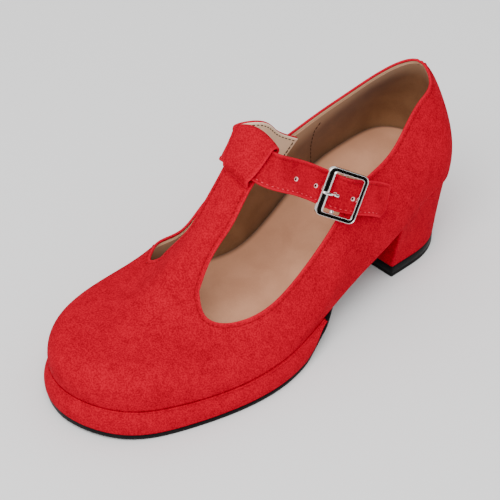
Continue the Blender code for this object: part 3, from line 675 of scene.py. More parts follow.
def openEdges(faces):  # directed edges used by one face, chained into loops
    quads = np.array(faces)
    pairs = np.concatenate([quads[:, [i, (i + 1) % 4]] for i in range(4)])
    seen = set(map(tuple, pairs.tolist()))
    after = {a: b for a, b in seen if (b, a) not in seen}
    loops = []
    while after:
        first, here = next(iter(after.items()))
        loop = [first]
        del after[first]
        while here != first:
            loop.append(here)
            here = after.pop(here)
        loops.append(loop)
    return loops


def edgeOutward(points, normals, loop):
    line = points[loop]
    along = unit(np.roll(line, -1, axis=0) - np.roll(line, 1, axis=0))
    return unit(np.cross(along, normals[loop]))


def distanceTo(points, line, step=0.0003):
    dense = []
    for a, b in zip(line, np.roll(line, -1, axis=0)):
        count = max(1, int(np.linalg.norm(b - a) / step))
        dense.extend(a + (b - a) * t for t in np.linspace(0, 1, count, endpoint=False))
    tree = kdtree.KDTree(len(dense))
    for i, point in enumerate(dense):
        tree.insert(point, i)
    tree.balance()
    return np.array([tree.find(point)[2] for point in points])


def thicken(points, faces, thick, belly=0.55, steps=5):  # the wall grows against the normals
    normals = sheetNormals(points, faces)
    thick = np.broadcast_to(np.asarray(thick, float), (len(points),))
    count = len(points)
    allPoints = [points, points - normals * thick[:, None]]
    allFaces = list(faces) + [tuple(i + count for i in reversed(face)) for face in faces]
    at = 2 * count
    owners = [np.arange(count), np.arange(count)]
    for loop in openEdges(faces):
        outward = edgeOutward(points, normals, loop)
        half = thick[loop][:, None] / 2
        centre = points[loop] - normals[loop] * half
        rows = [np.array(loop)]
        for step in range(1, steps):
            angle = math.pi * step / steps
            turned = normals[loop] * half * math.cos(angle) + outward * half * belly * math.sin(angle)
            allPoints.append(centre + turned)
            rows.append(np.arange(at, at + len(loop)))
            owners.append(np.array(loop))
            at += len(loop)
        rows.append(np.array(loop) + count)
        for a, b in zip(rows, rows[1:]):
            for j in range(len(loop)):
                k = (j + 1) % len(loop)
                allFaces.append((a[k], a[j], b[j], b[k]))
    return np.vstack(allPoints), allFaces, np.concatenate(owners)


stitches = {  # pitch, run, radius
    "edge": (0.0024, 0.0016, 0.00017),
    "strap": (0.0026, 0.0017, 0.00019),
    "backing": (0.0030, 0.0021, 0.00024),
    "strapEnd": (0.0022, 0.0020, 0.00032),
    "lining": (0.0026, 0.0022, 0.00024),
}


def addStitches(name, kind, lines, finish):  # lines: places, and the normals there
    pitch, run, radius = stitches[kind]
    rings, sides = 7, 6
    points, faces = [], []
    for line, outward in lines:
        steps = np.linalg.norm(np.diff(line, axis=0), axis=1)
        far = np.concatenate([[0], np.cumsum(steps)])
        for start in np.arange(pitch / 2, far[-1] - run, pitch):
            t = start + run * np.linspace(0, 1, rings)
            middle = np.column_stack([np.interp(t, far, line[:, k]) for k in range(3)])
            normal = unit(np.column_stack([np.interp(t, far, outward[:, k]) for k in range(3)]))
            ahead = unit(np.gradient(middle, axis=0))
            swell = np.sin(np.pi * np.linspace(0.06, 0.94, rings))[:, None]
            middle = middle + normal * radius * (0.9 * swell - 0.4)
            across = np.cross(ahead, normal)
            size = radius * np.sqrt(swell)
            first = len(points)
            for angle in np.linspace(0, 2 * math.pi, sides, endpoint=False):
                points.extend(middle + (across * math.cos(angle) + normal * math.sin(angle)) * size)
            for i in range(rings - 1):
                for j in range(sides):
                    here, beside = first + rings * j + i, first + rings * ((j + 1) % sides) + i
                    faces.append((here, beside, beside + 1, here + 1))
            ends = [first + rings * j for j in range(sides)]
            faces += [tuple(ends[::-1]), tuple(end + rings - 1 for end in ends)]
    addPiece(name, points, faces, finish)


# Upper: one sheet for vamp, quarters and T-bar

def rimCurve(count):
    keys = np.array([spot(*row[:3]) for row in rimLine])
    knots = chordKnots(keys)
    feet = lastPoint(np.array([row[3] for row in rimLine]) / 100, 0.0)
    even = (knots + chordKnots(feet)) / 2
    t = np.interp(np.linspace(0, 1, count), even, knots)
    uv = onLast(spline(knots, keys)(t))
    uv[:, 0] = np.where(uv[:, 0] > 0.5, uv[:, 0] - 1, uv[:, 0])
    half = np.argmin(np.abs(uv[:, 0]))
    uv[:half, 0] = np.abs(uv[:half, 0])
    return uv, spline(knots, np.array([row[3] / 100 for row in rimLine]))(t)


def barRows(root, slope, risen, folds, flaps):
    across = np.linspace(1, -1, len(root))
    side = np.array([1.0, 0.0, 0.0])
    dome = (1 - across**2)[:, None]
    length = np.linalg.norm(barAt(1.0)[:3] - barAt(0.0)[:3])
    rows, shares = [], []
    for s in risen:
        middle, half, tangent, normal = barFrame(s)
        raised = (normal * barCrown(s) + tangent * barArch(s)) * dome
        free = middle + side * (across * half)[:, None] + raised
        blend = ease(s / bar["blend"])
        rows.append((root + slope * s * length) * (1 - blend) + free * blend)
        shares.append(s)
    top, half, tangent, normal = barFrame(1.0)
    lifted = (normal * barCrown(1.0) + tangent * barArch(1.0)) * dome
    for angle in np.linspace(0, math.pi, folds + 1)[1:] if folds else ():
        shift = normal * bar["fold"] * (1 - math.cos(angle)) + tangent * bar["fold"] * math.sin(angle)
        rows.append(top + shift + side * (across * half)[:, None] + lifted)
        shares.append(1 + angle / math.pi * bar["foldShare"])
    for s in np.linspace(1, bar["flapEnd"], flaps + 1)[1:] if flaps else ():
        middle, half, tangent, normal = barFrame(s)
        down = (1 - s) / (1 - bar["flapEnd"])
        below = ease((bar["strapLow"] - s) / (bar["strapLow"] - bar["flapEnd"]))
        lift = 2 * bar["fold"] + (2 * sizes["gap"] - 2 * bar["fold"]) * below
        width = half * (1 - bar["flapTaper"] * down**5)
        skew = tangent * (bar["flapSkew"] * down**3) * across[:, None]
        rows.append(middle + side * (across * width + bar["flapShift"] * down)[:, None] + normal * lift
                    + (normal * barCrown(s) + tangent * barArch(s)) * dome - skew)
        shares.append(1 + bar["foldShare"] + (1 - s))
    return rows, shares


creases = (  # along, side, height; direction out, back, up; half length, half width and depth in metres
    (71.0, -8.0, 52.0, -1.0, 0.8, 0.6, 0.0075, 0.0013, 0.00040),
    (72.0, -10.5, 50.0, -1.0, 0.8, 0.6, 0.0070, 0.0013, -0.00030),
    (78.0, 6.0, 38.0, 0.0, -0.2, 1.0, 0.0100, 0.0025, 0.00025),
    (90.0, -20.0, 30.0, 0.0, -1.0, 0.3, 0.0120, 0.0030, 0.00020),
    (86.0, 22.0, 25.0, 0.0, -1.0, -0.2, 0.0140, 0.0035, 0.00022),
    (60.0, 40.0, 24.0, 0.0, -1.0, 0.1, 0.0150, 0.0040, 0.00030),
    (30.0, 33.0, 52.0, 0.0, -0.3, 1.0, 0.0120, 0.0040, 0.00030),
    (20.0, 26.0, 60.0, 0.0, 0.2, 1.0, 0.0140, 0.0035, 0.00025),
    (1.5, -3.5, 82.0, 0.0, 0.1, 1.0, 0.0300, 0.0006, 0.00045),
)


sheet = {"rollRows": 7, "rowPower": 1.25, "creaseReach": 0.02, "creasedTo": 0.6}


def upperSheet(rimColumns, rootColumns, sideRows, barRise, barTop, folds, flaps):
    uv, foot = rimCurve(rimColumns)
    start, end = uv[0] - [1, 0], uv[-1]
    t = np.linspace(0, 1, rootColumns)[1:-1, None]
    top = np.vstack([uv, end + (start - end) * t])
    bottom = np.concatenate([foot, foot[-1] + (foot[0] - 1 - foot[-1]) * t[:, 0]])
    columns = len(top)
    feet = lastPoint(bottom, 0.0)
    step = lastPoint(bottom + 1e-3, 0.0) - lastPoint(bottom - 1e-3, 0.0)
    inward = unit(np.column_stack([step[:, 1], -step[:, 0], np.zeros(columns)]))
    inward *= np.sign(((feet.mean(axis=0) - feet)[:, :2] * inward[:, :2]).sum())
    radius = sizes["featherRadius"]
    rise = radius / np.linalg.norm(lastSlopes(bottom, 0.0)[1], axis=1)
    under, upper = feet + inward * radius, lastPoint(bottom, rise)
    rows = [feet + inward * sizes["margin"]]
    rows[0][:, 2] = featherHeight(rows[0][:, 1])
    under[:, 2] = featherHeight(under[:, 1])
    for t in np.linspace(0, 1, sheet["rollRows"], endpoint=False):
        rows.append(under * (1 - t) ** 2 + 2 * feet * t * (1 - t) + upper * t**2)
    for share in 1 - (1 - np.linspace(0, 1, sideRows)) ** sheet["rowPower"]:
        v = rise + (top[:, 1] - rise) * share
        rows.append(lastPoint(bottom + (top[:, 0] - bottom) * share, v))
    points = np.vstack(rows)
    faces = gridFaces(len(rows), columns, closed=True)
    lastRow = (len(rows) - 1) * columns
    root = [lastRow, *range(lastRow + columns - 1, lastRow + rimColumns - 1, -1), lastRow + rimColumns - 1]
    before = root
    across = [i - lastRow for i in root]
    slope = unit(lastSlopes(top[across, 0], top[across, 1])[1])
    risen = np.linspace(0, barTop, barRise + 1)[1:]
    extra, shares = barRows(rows[-1][across], slope, risen, folds, flaps)
    share = np.zeros(len(points))
    for row, s in zip(extra, shares):
        after = list(range(len(points), len(points) + rootColumns))
        points = np.vstack([points, row])
        share = np.concatenate([share, np.full(rootColumns, s)])
        for j in range(rootColumns - 1):
            faces.append((before[j + 1], before[j], after[j], after[j + 1]))
        before = after
    normals = sheetNormals(points, faces)
    if normals[columns + 5][2] > 0:
        faces = [tuple(reversed(face)) for face in faces]
        normals = -normals
    for along, side, height, *aim, halfLength, halfWidth, depth in creases:
        (u, v), = onLast(spot(along, side, height))
        centre, outward = lastPoint(u, v), lastNormal(u, v)
        ahead = unit(np.array(aim) - outward * np.dot(aim, outward))
        apart = points - centre
        far = np.exp(-(apart @ ahead / halfLength) ** 2 - (apart @ np.cross(ahead, outward) / halfWidth) ** 2
                     - (apart @ outward / sheet["creaseReach"]) ** 2)
        points = points - normals * (depth * far * (share < sheet["creasedTo"]))[:, None]
    return points, faces, share


upperShell = {
    "thick": 0.00110, "flapThick": 0.0012, "flapFrom": 0.86, "stitchedTo": 0.70, "leastRun": 8,
    "mesh": {"rimColumns": 420, "rootColumns": 45, "sideRows": 44, "barRise": 46, "barTop": 1.0,
             "folds": 16, "flaps": 26},
}
upperLining = {
    "under": 0.00005, "thick": 0.00055, "below": 0.0023, "edgeBelly": 0.6, "edgeSteps": 4,
    "mesh": {"rimColumns": 300, "rootColumns": 21, "sideRows": 30, "barRise": 26, "barTop": 0.90,
             "folds": 0, "flaps": 0},
}
liningFace = upperShell["thick"] + upperLining["under"] + upperLining["thick"]  # in from the outside


def rimOf(points, faces):  # the highest open edge: collar, cut-outs and T-bar
    return max(openEdges(faces), key=lambda loop: points[loop][:, 2].max())


def addUpper():
    points, faces, share = upperSheet(**upperShell["mesh"])
    flap = ease((share - upperShell["flapFrom"]) / (1 - upperShell["flapFrom"]))
    thick = upperShell["thick"] + (upperShell["flapThick"] - upperShell["thick"]) * flap
    rim = rimOf(points, faces)
    distance = distanceTo(points, points[rim])
    solid, solidFaces, owners = thicken(points, faces, thick)
    addPiece("upperShell", solid, solidFaces, redSuede, ("upper",), {"edge": distance[owners]})
    normals = sheetNormals(points, faces)  # a stitch line round the rim, up to the strap over the bar
    seam = points[rim] - edgeOutward(points, normals, rim) * suede["seam"]
    shown = share[rim] < upperShell["stitchedTo"]
    first = int(np.argmin(shown))
    runs = [[]]
    for i in [*range(first, len(rim)), *range(first)]:
        if shown[i]:
            runs[-1].append(i)
        elif runs[-1]:
            runs.append([])
    lines = [(seam[run], normals[rim][run]) for run in runs if len(run) > upperShell["leastRun"]]
    addStitches("edgeStitches", "edge", lines, redThread)


addUpper()
print("upper made")


def addLining():
    points, faces, _ = upperSheet(**upperLining["mesh"])
    normals = sheetNormals(points, faces)
    rim = rimOf(points, faces)
    points[rim] -= edgeOutward(points, normals, rim) * upperLining["below"]
    points -= normals * (upperShell["thick"] + upperLining["under"])
    distance = distanceTo(points, points[rim])
    edge = upperLining["edgeBelly"], upperLining["edgeSteps"]
    solid, solidFaces, owners = thicken(points, faces, upperLining["thick"], *edge)
    addPiece("upperLining", solid, solidFaces, beigeLining, (), {"edge": distance[owners]})


liningSeam = ((0.06, 0.865), (0.25, 0.864), (0.44, 0.866), (0.53, 0.873))  # up a rib, round the last


def addLiningSeam():  # the heel lining overlaps the front lining on the inner side
    v = np.linspace(liningSeam[0][0], liningSeam[-1][0], 60)
    u = np.interp(v, *zip(*liningSeam))
    inward = -lastNormal(u, v)
    line = lastPoint(u, v) + inward * liningFace
    addStitches("liningStitches", "lining", [(line, inward)], darkThread)


addLining()
addLiningSeam()
print("lining made")


# Insole, platform, outsole

def outlineAt(height, inset, count=480):  # inside of the lining at a height above the feather line
    u = np.linspace(0, 1, count, endpoint=False)
    low, high = np.zeros(count), np.full(count, 0.6)
    foot = lastPoint(u, 0.0)
    for _ in range(26):
        v = (low + high) / 2
        above = lastPoint(u, v)[:, 2] - foot[:, 2] > height
        high = np.where(above, v, high)
        low = np.where(above, low, v)
    line = (lastPoint(u, v) - lastNormal(u, v) * liningFace)[:, :2]
    return line - outlineNormals(line) * inset


def featherOutline(inset, count=720):
    line = lastPoint(np.linspace(0, 1, count, endpoint=False), 0.0)[:, :2]
    return line - outlineNormals(line) * inset


def soleUnderside(y):
    along = yAlong(y)
    raised = featherHeight(y) - sizes["gap"] - sizes["outsole"]
    climb = ease((sizes["treadBack"] - along) / (sizes["treadBack"] - sizes["waistJoin"]))
    front = sizes["treadFront"]
    return raised * climb + sizes["toeSpring"] * np.clip((along - front) / (100 - front), 0, 1) ** 2


def outlineRings(line, rings):  # rings shrink towards the outline's middle line
    y = np.clip(line[:, 1], alongY(insoleSock["middleFront"]), alongY(insoleSock["middleBack"]))
    spine = np.zeros((len(line), 2))
    for i, level in enumerate(y):
        near = line[np.abs(line[:, 1] - level) < insoleSock["sideReach"], 0]
        spine[i] = (near.min() + near.max()) / 2, level
    points = []
    for share, height in rings:
        flat = line * share + spine * (1 - share)
        points.append(np.column_stack([flat, height(flat, share)]))
    return np.vstack(points)


insoleSock = {
    "lift": 0.0062, "thick": 0.0032, "cup": 0.0007, "crevice": 0.0009, "soft": 0.00025,
    "halfWidth": 0.03, "middleBack": 8.0, "middleFront": 90.0, "sideReach": 0.004,
}


def addInsole():
    line = outlineAt(insoleSock["lift"], insoleSock["crevice"])

    def top(flat, share):
        return featherHeight(flat[:, 1]) + insoleSock["lift"] - insoleSock["cup"] * (1 - share**3)

    def rounded(flat, share):
        return top(flat, 1.0) - insoleSock["soft"]

    def under(flat, share):
        return top(flat, 1.0) - insoleSock["thick"]

    rings = [(share, under) for share in (0.0, 0.6, 0.99, 1.0)] + [(1.0, rounded)]
    rings += [(share, top) for share in (0.993, 0.98, 0.95, 0.9, 0.8, 0.65, 0.5, 0.35, 0.2, 0.1, 0.0)]
    points, faces = outlineRings(line, rings), gridFaces(len(rings), len(line), closed=True)
    edge = np.repeat([(1 - share) * insoleSock["halfWidth"] + 0.0006 for share, _ in rings], len(line))
    addPiece("insoleSock", points, faces, sockFinish, ("insole",), {"edge": edge})


addInsole()
print("insole made")

platformCover = {
    "round": 0.0014, "top": 0.0007, "bead": 0.00045, "belly": 0.0006, "tuck": 0.0090,
    "clear": 0.00015, "overlap": 0.0011, "least": 0.0006, "backLip": 0.55, "lipGrows": 0.012,
    "beadDrop": 0.0006, "coverDrop": 0.0003, "wallDrop": 0.0010, "wallPower": 1.3, "beyondWaist": 2.0,
}


def addPlatform():  # wall leaning out from the crease under the upper down to the lip
    back = alongY(sizes["waistJoin"] + platformCover["beyondWaist"])
    u = np.linspace(0, 1, 4001)
    inside = u[lastPoint(u, 0.0)[:, 1] < back]
    u = np.linspace(inside[0], inside[-1], 420)
    line = lastPoint(u, 0.0)[:, :2]
    along = unit(lastPoint(u + 1e-4, 0.0)[:, :2] - lastPoint(u - 1e-4, 0.0)[:, :2])
    outward = turnedOut(along, line, lastPoint(np.linspace(0, 1, 90), 0.0)[:, :2].mean(axis=0))
    y = line[:, 1]
    low = soleUnderside(y) + sizes["outsole"] + platformCover["clear"]
    high = np.maximum(featherHeight(y) + platformCover["overlap"], low + platformCover["least"])
    tall = high - low
    soft = np.minimum(platformCover["round"], tall / 2.2)
    grown = ease((back - y) / platformCover["lipGrows"])
    proud = sizes["lip"] * (platformCover["backLip"] + (1 - platformCover["backLip"]) * grown)
    top = np.minimum(platformCover["top"], proud)
    bead = platformCover["bead"]
    shape = [(0 * y - platformCover["tuck"], 0 * y)]  # out from the feather line and up from the outsole
    for turn in np.linspace(-math.pi / 2, 0, 7):
        shape.append((proud - soft * (1 - math.cos(turn)), soft * (1 + math.sin(turn))))
    for share in np.linspace(0.1, 1.0, 12):
        belly = platformCover["belly"] * math.sin(math.pi * share)
        rise = soft + (tall - soft - platformCover["wallDrop"]) * share
        shape.append((proud + (top - proud) * share ** platformCover["wallPower"] + belly, rise))
    for turn in np.linspace(-0.6, math.pi / 2, 7):
        rise = tall - platformCover["beadDrop"] + bead * math.sin(turn)
        shape.append((top + bead * (math.cos(turn) - 0.8), rise))
    for inner in (0.0006, 0.0026, 0.0066):
        shape.append((top - inner, tall - platformCover["coverDrop"] + 0 * y))
    sections = [np.column_stack([line + outward * out[:, None], low + rise]) for out, rise in shape]
    points = np.array(sections).transpose(1, 0, 2).reshape(-1, 3)
    faces = gridFaces(len(u), len(shape))
    faces += [face[::-1] for face in endFaces(len(u), len(shape))]
    addPiece("platformCover", points, faces, redSuedePlain, ("platform",))


addPlatform()

outsoleSheet = {"round": 0.0006, "tuck": 0.0062, "tuckFrom": 3.0, "tuckOver": 8.0, "lipShare": 0.8}


def outlineSides(line, ys):  # lateral and medial x of a closed outline at these stations
    toe, heel = np.argmin(line[:, 1]), np.argmax(line[:, 1])
    loop = np.roll(line, -heel, axis=0)
    cut = (toe - heel) % len(line)
    branches = loop[:cut + 1], np.vstack([loop[cut:], loop[:1]])
    found = []
    for branch in sorted(branches, key=lambda branch: -branch[:, 0].mean()):
        order = np.argsort(branch[:, 1])
        found.append(np.interp(ys, branch[order, 1], branch[order, 0]))
    return found


def addOutsole():
    back = alongY(sizes["breast"]) - sizes["gap"]
    line = featherOutline(-sizes["lip"] * outsoleSheet["lipShare"])
    toe = line[:, 1].min()
    ys = toe + (back - toe) * (1 - np.cos(np.linspace(0, math.pi / 2, 200)))
    beyond = sizes["waistJoin"] + outsoleSheet["tuckFrom"] - yAlong(ys)
    tuck = outsoleSheet["tuck"] * ease(beyond / outsoleSheet["tuckOver"])
    lateral, medial = outlineSides(line, ys)
    soft, thick = outsoleSheet["round"], sizes["outsole"]
    turns = np.linspace(-math.pi / 2, math.pi / 2, 9)[1:-1]
    section = [(share, 0.0, 0.0) for share in np.linspace(0, 1, 17)]  # across, out and up
    section += [(1.0, soft * math.cos(turn), thick / 2 * (1 + math.sin(turn))) for turn in turns]
    section += [(share, 0.0, thick) for share in np.linspace(1, 0, 17)]
    section += [(0.0, -soft * math.cos(turn), thick / 2 * (1 + math.sin(turn))) for turn in -turns]
    points = []
    for y, left, right, base in zip(ys, medial + tuck, lateral - tuck, soleUnderside(ys)):
        inner, outer = left + soft, right - soft
        points += [(inner + (outer - inner) * share + out, y, base + rise) for share, out, rise in section]
    faces = gridFaces(len(ys), len(section), closed=True) + endFaces(len(ys), len(section))
    addPiece("outsoleSheet", points, faces, blackRubber, ("outsole",))


addOutsole()
print("platform and outsole made")


# Heel

heelShape = {
    "round": 0.0012, "straight": 0.30, "power": 2.3, "waist": 0.012, "centre": -3.1, "inset": 0.0012,
    "aboveLift": 0.0001, "underUpper": 0.0002,
}


def heelLevel(share, inset=0.0, count=360):  # closed outline with softened corners at the breast
    line = featherOutline(heelShape["inset"])
    breast = alongY(sizes["breast"])
    t = np.sin(np.linspace(0, math.pi / 2, 90))
    highY = breast + (line[:, 1].max() - breast) * t
    lowY = breast + (alongY(sizes["heelBack"]) - breast) * t
    curve = np.clip((t - heelShape["straight"]) / (1 - heelShape["straight"]), 0, 1)
    half = sizes["topPieceWidth"] / 2 * np.sqrt(np.maximum(1 - curve ** heelShape["power"], 0))
    centre = sideX(heelShape["centre"])
    narrow = 1 - heelShape["waist"] * math.sin(math.pi * share)
    sides = []
    for sign, high in zip((1, -1), outlineSides(line, highY)):
        x = ((centre + sign * half) * (1 - share) + high * share) * narrow
        sides.append(np.column_stack([x, lowY * (1 - share) + highY * share]))
    closed = np.vstack([sides[0], sides[1][::-1][1:], sides[0][:1]])
    run = np.concatenate([[0], np.cumsum(np.linalg.norm(np.diff(closed, axis=0), axis=1))])
    even = np.linspace(0, run[-1], count * 4, endpoint=False)
    fine = np.column_stack([np.interp(even, run, closed[:, k]) for k in (0, 1)])
    reach = max(1, int(heelShape["round"] / (run[-1] / len(fine))))
    fine = sum(np.roll(fine, shift, axis=0) for shift in range(-reach, reach + 1)) / (2 * reach + 1)
    return (fine - outlineNormals(fine) * inset)[::4]


def heelPiece(name, levels, finish, stands):  # levels: share of the height, inset, height
    points = []
    for share, inset, height in levels:
        flat = heelLevel(share, inset)
        points.append(np.column_stack([flat, height(flat[:, 1])]))
    rows, columns = len(points), len(points[0])
    faces = gridFaces(rows, columns, closed=True) + endFaces(rows, columns)
    addPiece(name, np.vstack(points), faces, finish, stands)


def addHeel():
    top = sizes["topPiece"]
    low = top + heelShape["aboveLift"]

    def level(share, extra=0.0):
        return lambda y: low * (1 - share) + (featherHeight(y) - heelShape["underUpper"]) * share + extra

    def flatAt(z):
        return lambda y: np.full(len(y), z)

    cover = [(0.0, 0.0010, level(0.0)), (0.0, 0.0004, level(0.0)), (0.0, 0.0001, level(0.0, 0.0002)),
             (0.0, 0.0, level(0.0, 0.0006))]
    cover += [(share, 0.0, level(share)) for share in np.linspace(0.04, 0.95, 22)]
    cover += [(1.0, 0.0, level(1.0, -0.0009)), (1.0, 0.0003, level(1.0, -0.0004)), (1.0, 0.0010, level(1.0)),
              (1.0, 0.0030, level(1.0))]
    heelPiece("heelCover", cover, redSuedePlain, ("heel_block",))
    lift = ((0.0012, 0.0), (0.0005, 0.0), (0.0002, 0.0002), (0.0001, 0.0006), (0.0001, 0.0020),
            (0.0002, 0.00215), (0.0001, 0.0023), (0.0001, 0.0040), (0.0001, top - 0.0005),
            (0.0004, top - 0.0001), (0.0012, top))  # inset, height
    levels = [(0.0, inset, flatAt(z)) for inset, z in lift]
    heelPiece("heelLift", levels, blackRubber, ("top_piece",))


addHeel()
print("heel made")


# Ankle strap

ankleStrap = {
    "halfWidth": 0.0080, "face": 0.0009, "back": -0.0004, "lining": -0.0009, "round": 0.0006,
    "weltWidth": 0.0017, "welt": 0.00022, "weltSoft": 0.0008,
    "groove": 0.00016, "grooveIn": 0.0006, "grooveWidth": 0.00035,
    "dome": 0.0001, "domeFrom": 0.003, "domeOver": 0.004, "evenness": 0.65,
    "cornerLow": 0.0036, "cornerHigh": 0.0020, "cornerRise": 0.0040, "steps": 430,
    "holes": (0.640, 0.718, 0.785, 0.845), "holeRadius": 0.0006, "holeDepth": 0.0009, "holeBelow": 0.0008,
    "holeSoft": 0.0003, "ringRadius": 0.0012, "darkRadius": 0.0007, "darkSoft": 0.0002,
    # the near-black hole colour is painted shade inside each hole; the pale colour rings it
    "holePale": (0.82, 0.52, 0.50), "holePaintedShade": (0.05, 0.0, 0.0),
    "stitchIn": 0.0016, "stitchedFrom": 0.36, "tailPlain": 0.004,
    "backingIn": 0.0003, "backingUnder": 0.00003, "backingStitchedTo": 0.34,
    "endSeam": 0.0065, "endStation": 6, "sunk": 0.00002,
}


def strapExtent(left):  # lower and upper edge, where left metres remain to the tail's end
    half, high = ankleStrap["halfWidth"], ankleStrap["cornerHigh"]
    lower = -half + ankleStrap["cornerRise"] * np.clip(1 - left / ankleStrap["cornerLow"], 0, 1)
    rest = np.clip(1 - left / high, 0, 1)
    upper = half - high * (1 - np.sqrt(np.maximum(1 - rest**2, 0)))
    return lower, upper


def weltHeight(distance):
    width, soft = ankleStrap["weltWidth"], ankleStrap["weltSoft"]
    welt = ankleStrap["welt"] * ease((width + soft / 2 - distance) / soft)
    inside = (distance - width - ankleStrap["grooveIn"]) / ankleStrap["grooveWidth"]
    return welt - ankleStrap["groove"] * np.exp(-(inside**2))


def strapFace(s, spread, near):  # height of the red face, and how far each place belongs to a hole
    soft = ankleStrap["round"]
    rounding = soft * (1 - np.sqrt(np.maximum(1 - (1 - np.clip(near / soft, 0, 1)) ** 2, 0)))
    dome = ankleStrap["dome"] * ease((near - ankleStrap["domeFrom"]) / ankleStrap["domeOver"])
    out = ankleStrap["face"] + weltHeight(near) - rounding + dome
    mark = np.zeros(spread.shape)
    soft = ankleStrap["holeSoft"]
    for hole in ankleStrap["holes"]:
        apart = np.hypot((s[:, None] - hole) * strapLength, spread + ankleStrap["holeBelow"])
        out = out - ankleStrap["holeDepth"] * ease((ankleStrap["holeRadius"] + soft / 2 - apart) / soft)
        ring = ease((ankleStrap["ringRadius"] - apart) / soft)
        # painted shade: the hole's middle
        dark = ease((ankleStrap["darkRadius"] - apart) / ankleStrap["darkSoft"])
        mark = np.maximum(mark, ring * 0.5 + dark * 0.5)
    return out, mark


stations = np.concatenate([np.linspace(0, 0.93, ankleStrap["steps"]), np.linspace(0.93, 1.0, 60)[1:]])
tailLeft = (1 - stations) * strapLength
lowerEdge, upperEdge = strapExtent(tailLeft)
strapMiddle, _, strapAcross, strapNormal = strapFrame(stations)


def strapRows(spread, out):  # places across the strap at every station
    out = np.broadcast_to(out, spread.shape)[..., None]
    return strapMiddle[:, None] + strapAcross[:, None] * spread[..., None] + strapNormal[:, None] * out


def addLayer(name, top, base, finish, stands, marks):
    points = np.concatenate([top, base], axis=1)
    rows, columns = points.shape[:2]
    faces = gridFaces(rows, columns, closed=True) + endFaces(rows, columns)
    addPiece(name, points.reshape(-1, 3), faces, finish, stands, marks)


def addSeam(name, kind, edge, out, side, shown, finish):
    line = strapMiddle + strapAcross * edge[:, None] + strapNormal * out
    addStitches(name, kind, [(line[shown], side * strapNormal[shown])], finish)


def addStrap():
    low, wide = lowerEdge[:, None], (upperEdge - lowerEdge)[:, None]
    even = np.linspace(0, 1, 61)
    closer = 0.5 - 0.5 * np.cos(math.pi * even)  # columns closer together at the edges
    spread = low + wide * ((1 - ankleStrap["evenness"]) * closer + ankleStrap["evenness"] * even)
    near = np.minimum(np.minimum(spread - low, upperEdge[:, None] - spread), tailLeft[:, None])
    out, hole = strapFace(stations, spread, near)
    under = low + wide * np.linspace(1, 0, 9)
    marks = {key: np.hstack([values, np.zeros(under.shape)]).ravel() for key, values in
             (("edge", near), ("hole", hole))}
    top, base = strapRows(spread, out), strapRows(under, ankleStrap["back"])
    addLayer("ankleStrap", top, base, strapSuede, ("ankle_strap",), marks)
    shown = (stations > ankleStrap["stitchedFrom"]) & (tailLeft > ankleStrap["tailPlain"])
    out = ankleStrap["face"] - ankleStrap["sunk"]
    for name, edge, finish in (("lowerStitches", lowerEdge + ankleStrap["stitchIn"], pinkThread),
                               ("upperStitches", upperEdge - ankleStrap["stitchIn"], redThread)):
        addSeam(name, "strap", edge, out, 1, shown, finish)


def addBacking():  # dark stitches where it shows over the collar
    share = np.linspace(0, 1, 15)
    wide = (upperEdge - lowerEdge)[:, None] - 2 * ankleStrap["backingIn"]
    spread = lowerEdge[:, None] + ankleStrap["backingIn"] + wide * share
    near = np.tile(np.minimum(share, share[::-1]) * 2 * ankleStrap["halfWidth"], 2 * len(stations))
    top = strapRows(spread, ankleStrap["back"] - ankleStrap["backingUnder"])
    base = strapRows(spread[:, ::-1], ankleStrap["lining"])
    marks = {"edge": near + ankleStrap["backingIn"]}
    addLayer("strapBacking", top, base, backingFinish, (), marks)
    shown = stations < ankleStrap["backingStitchedTo"]
    out = ankleStrap["lining"] + ankleStrap["sunk"]
    edge = upperEdge - ankleStrap["stitchIn"]
    addSeam("backingStitches", "backing", edge, out, -1, shown, darkThread)
    reach = np.linspace(-ankleStrap["endSeam"], ankleStrap["endSeam"], 30)[:, None]
    station = ankleStrap["endStation"]
    middle, across, normal = (rows[station] for rows in (strapMiddle, strapAcross, strapNormal))
    line = middle + across * reach + normal * out, -np.tile(normal, (30, 1))
    addStitches("endStitches", "strapEnd", [line], darkThread)


def strapFinish():
    finish = bareSuede("strapSuede")
    place = finish.place()
    grain = place.noise(suede["grainPerMetre"], 3.0, 0.62)
    clouds = place.noise(70.0, 4.0, 0.55, 0.4)
    shade = (grain.ease(0.34, 0.66) * 0.55 + clouds.ease(0.3, 0.7) * 0.45).clamp()
    colour = shade.pick(suede["deep"], suede["lit"])
    edge = finish.attribute("edge")
    # painted highlight: a pale band along the strap's edges
    colour = (edge.ease(0.0012, 0.0003) * 0.3).pick(colour, suede["wearAndPaintedHighlight"])
    # painted shade: the stitch groove is darkened
    paintedDarkChannel = abs(edge - ankleStrap["stitchIn"]).ease(0.0007, 0.0)
    colour = (paintedDarkChannel * 0.4).pick(colour, suede["deep"])
    hole = finish.attribute("hole")
    colour = hole.ease(0.2, 0.4).pick(colour, ankleStrap["holePale"])
    # painted shade: each hole's middle painted near black
    colour = hole.ease(0.6, 0.85).pick(colour, ankleStrap["holePaintedShade"])
    bump = grain.bump(0.5, suede["grainDepth"])
    return finish.set(colour=colour, roughness=0.92 - shade * 0.14, normal=bump)


strapSuede = strapFinish()
addStrap()
addBacking()
print("strap made")


# Buckle

buckle = {
    "width": 0.0200, "height": 0.0230, "bar": 0.0023, "frontBar": 0.0040, "deep": 0.0012, "lift": 0.0010,
    "corner": 0.0030, "innerCorner": 0.0010, "rounding": 0.16,
    "hollow": 0.55, "hollowPower": 0.8, "hollowFrom": 0.2, "hollowSoft": 0.12,
    "centreBar": 0.0019, "prong": 0.0017, "prongBelow": 0.0008, "overFrame": 0.0020,
    "elasticHalf": 0.0055, "elasticThick": 0.0006, "elasticAbove": 0.0030,
}
overStrap = ankleStrap["face"] + sizes["gap"]  # out from the strap's middle layer


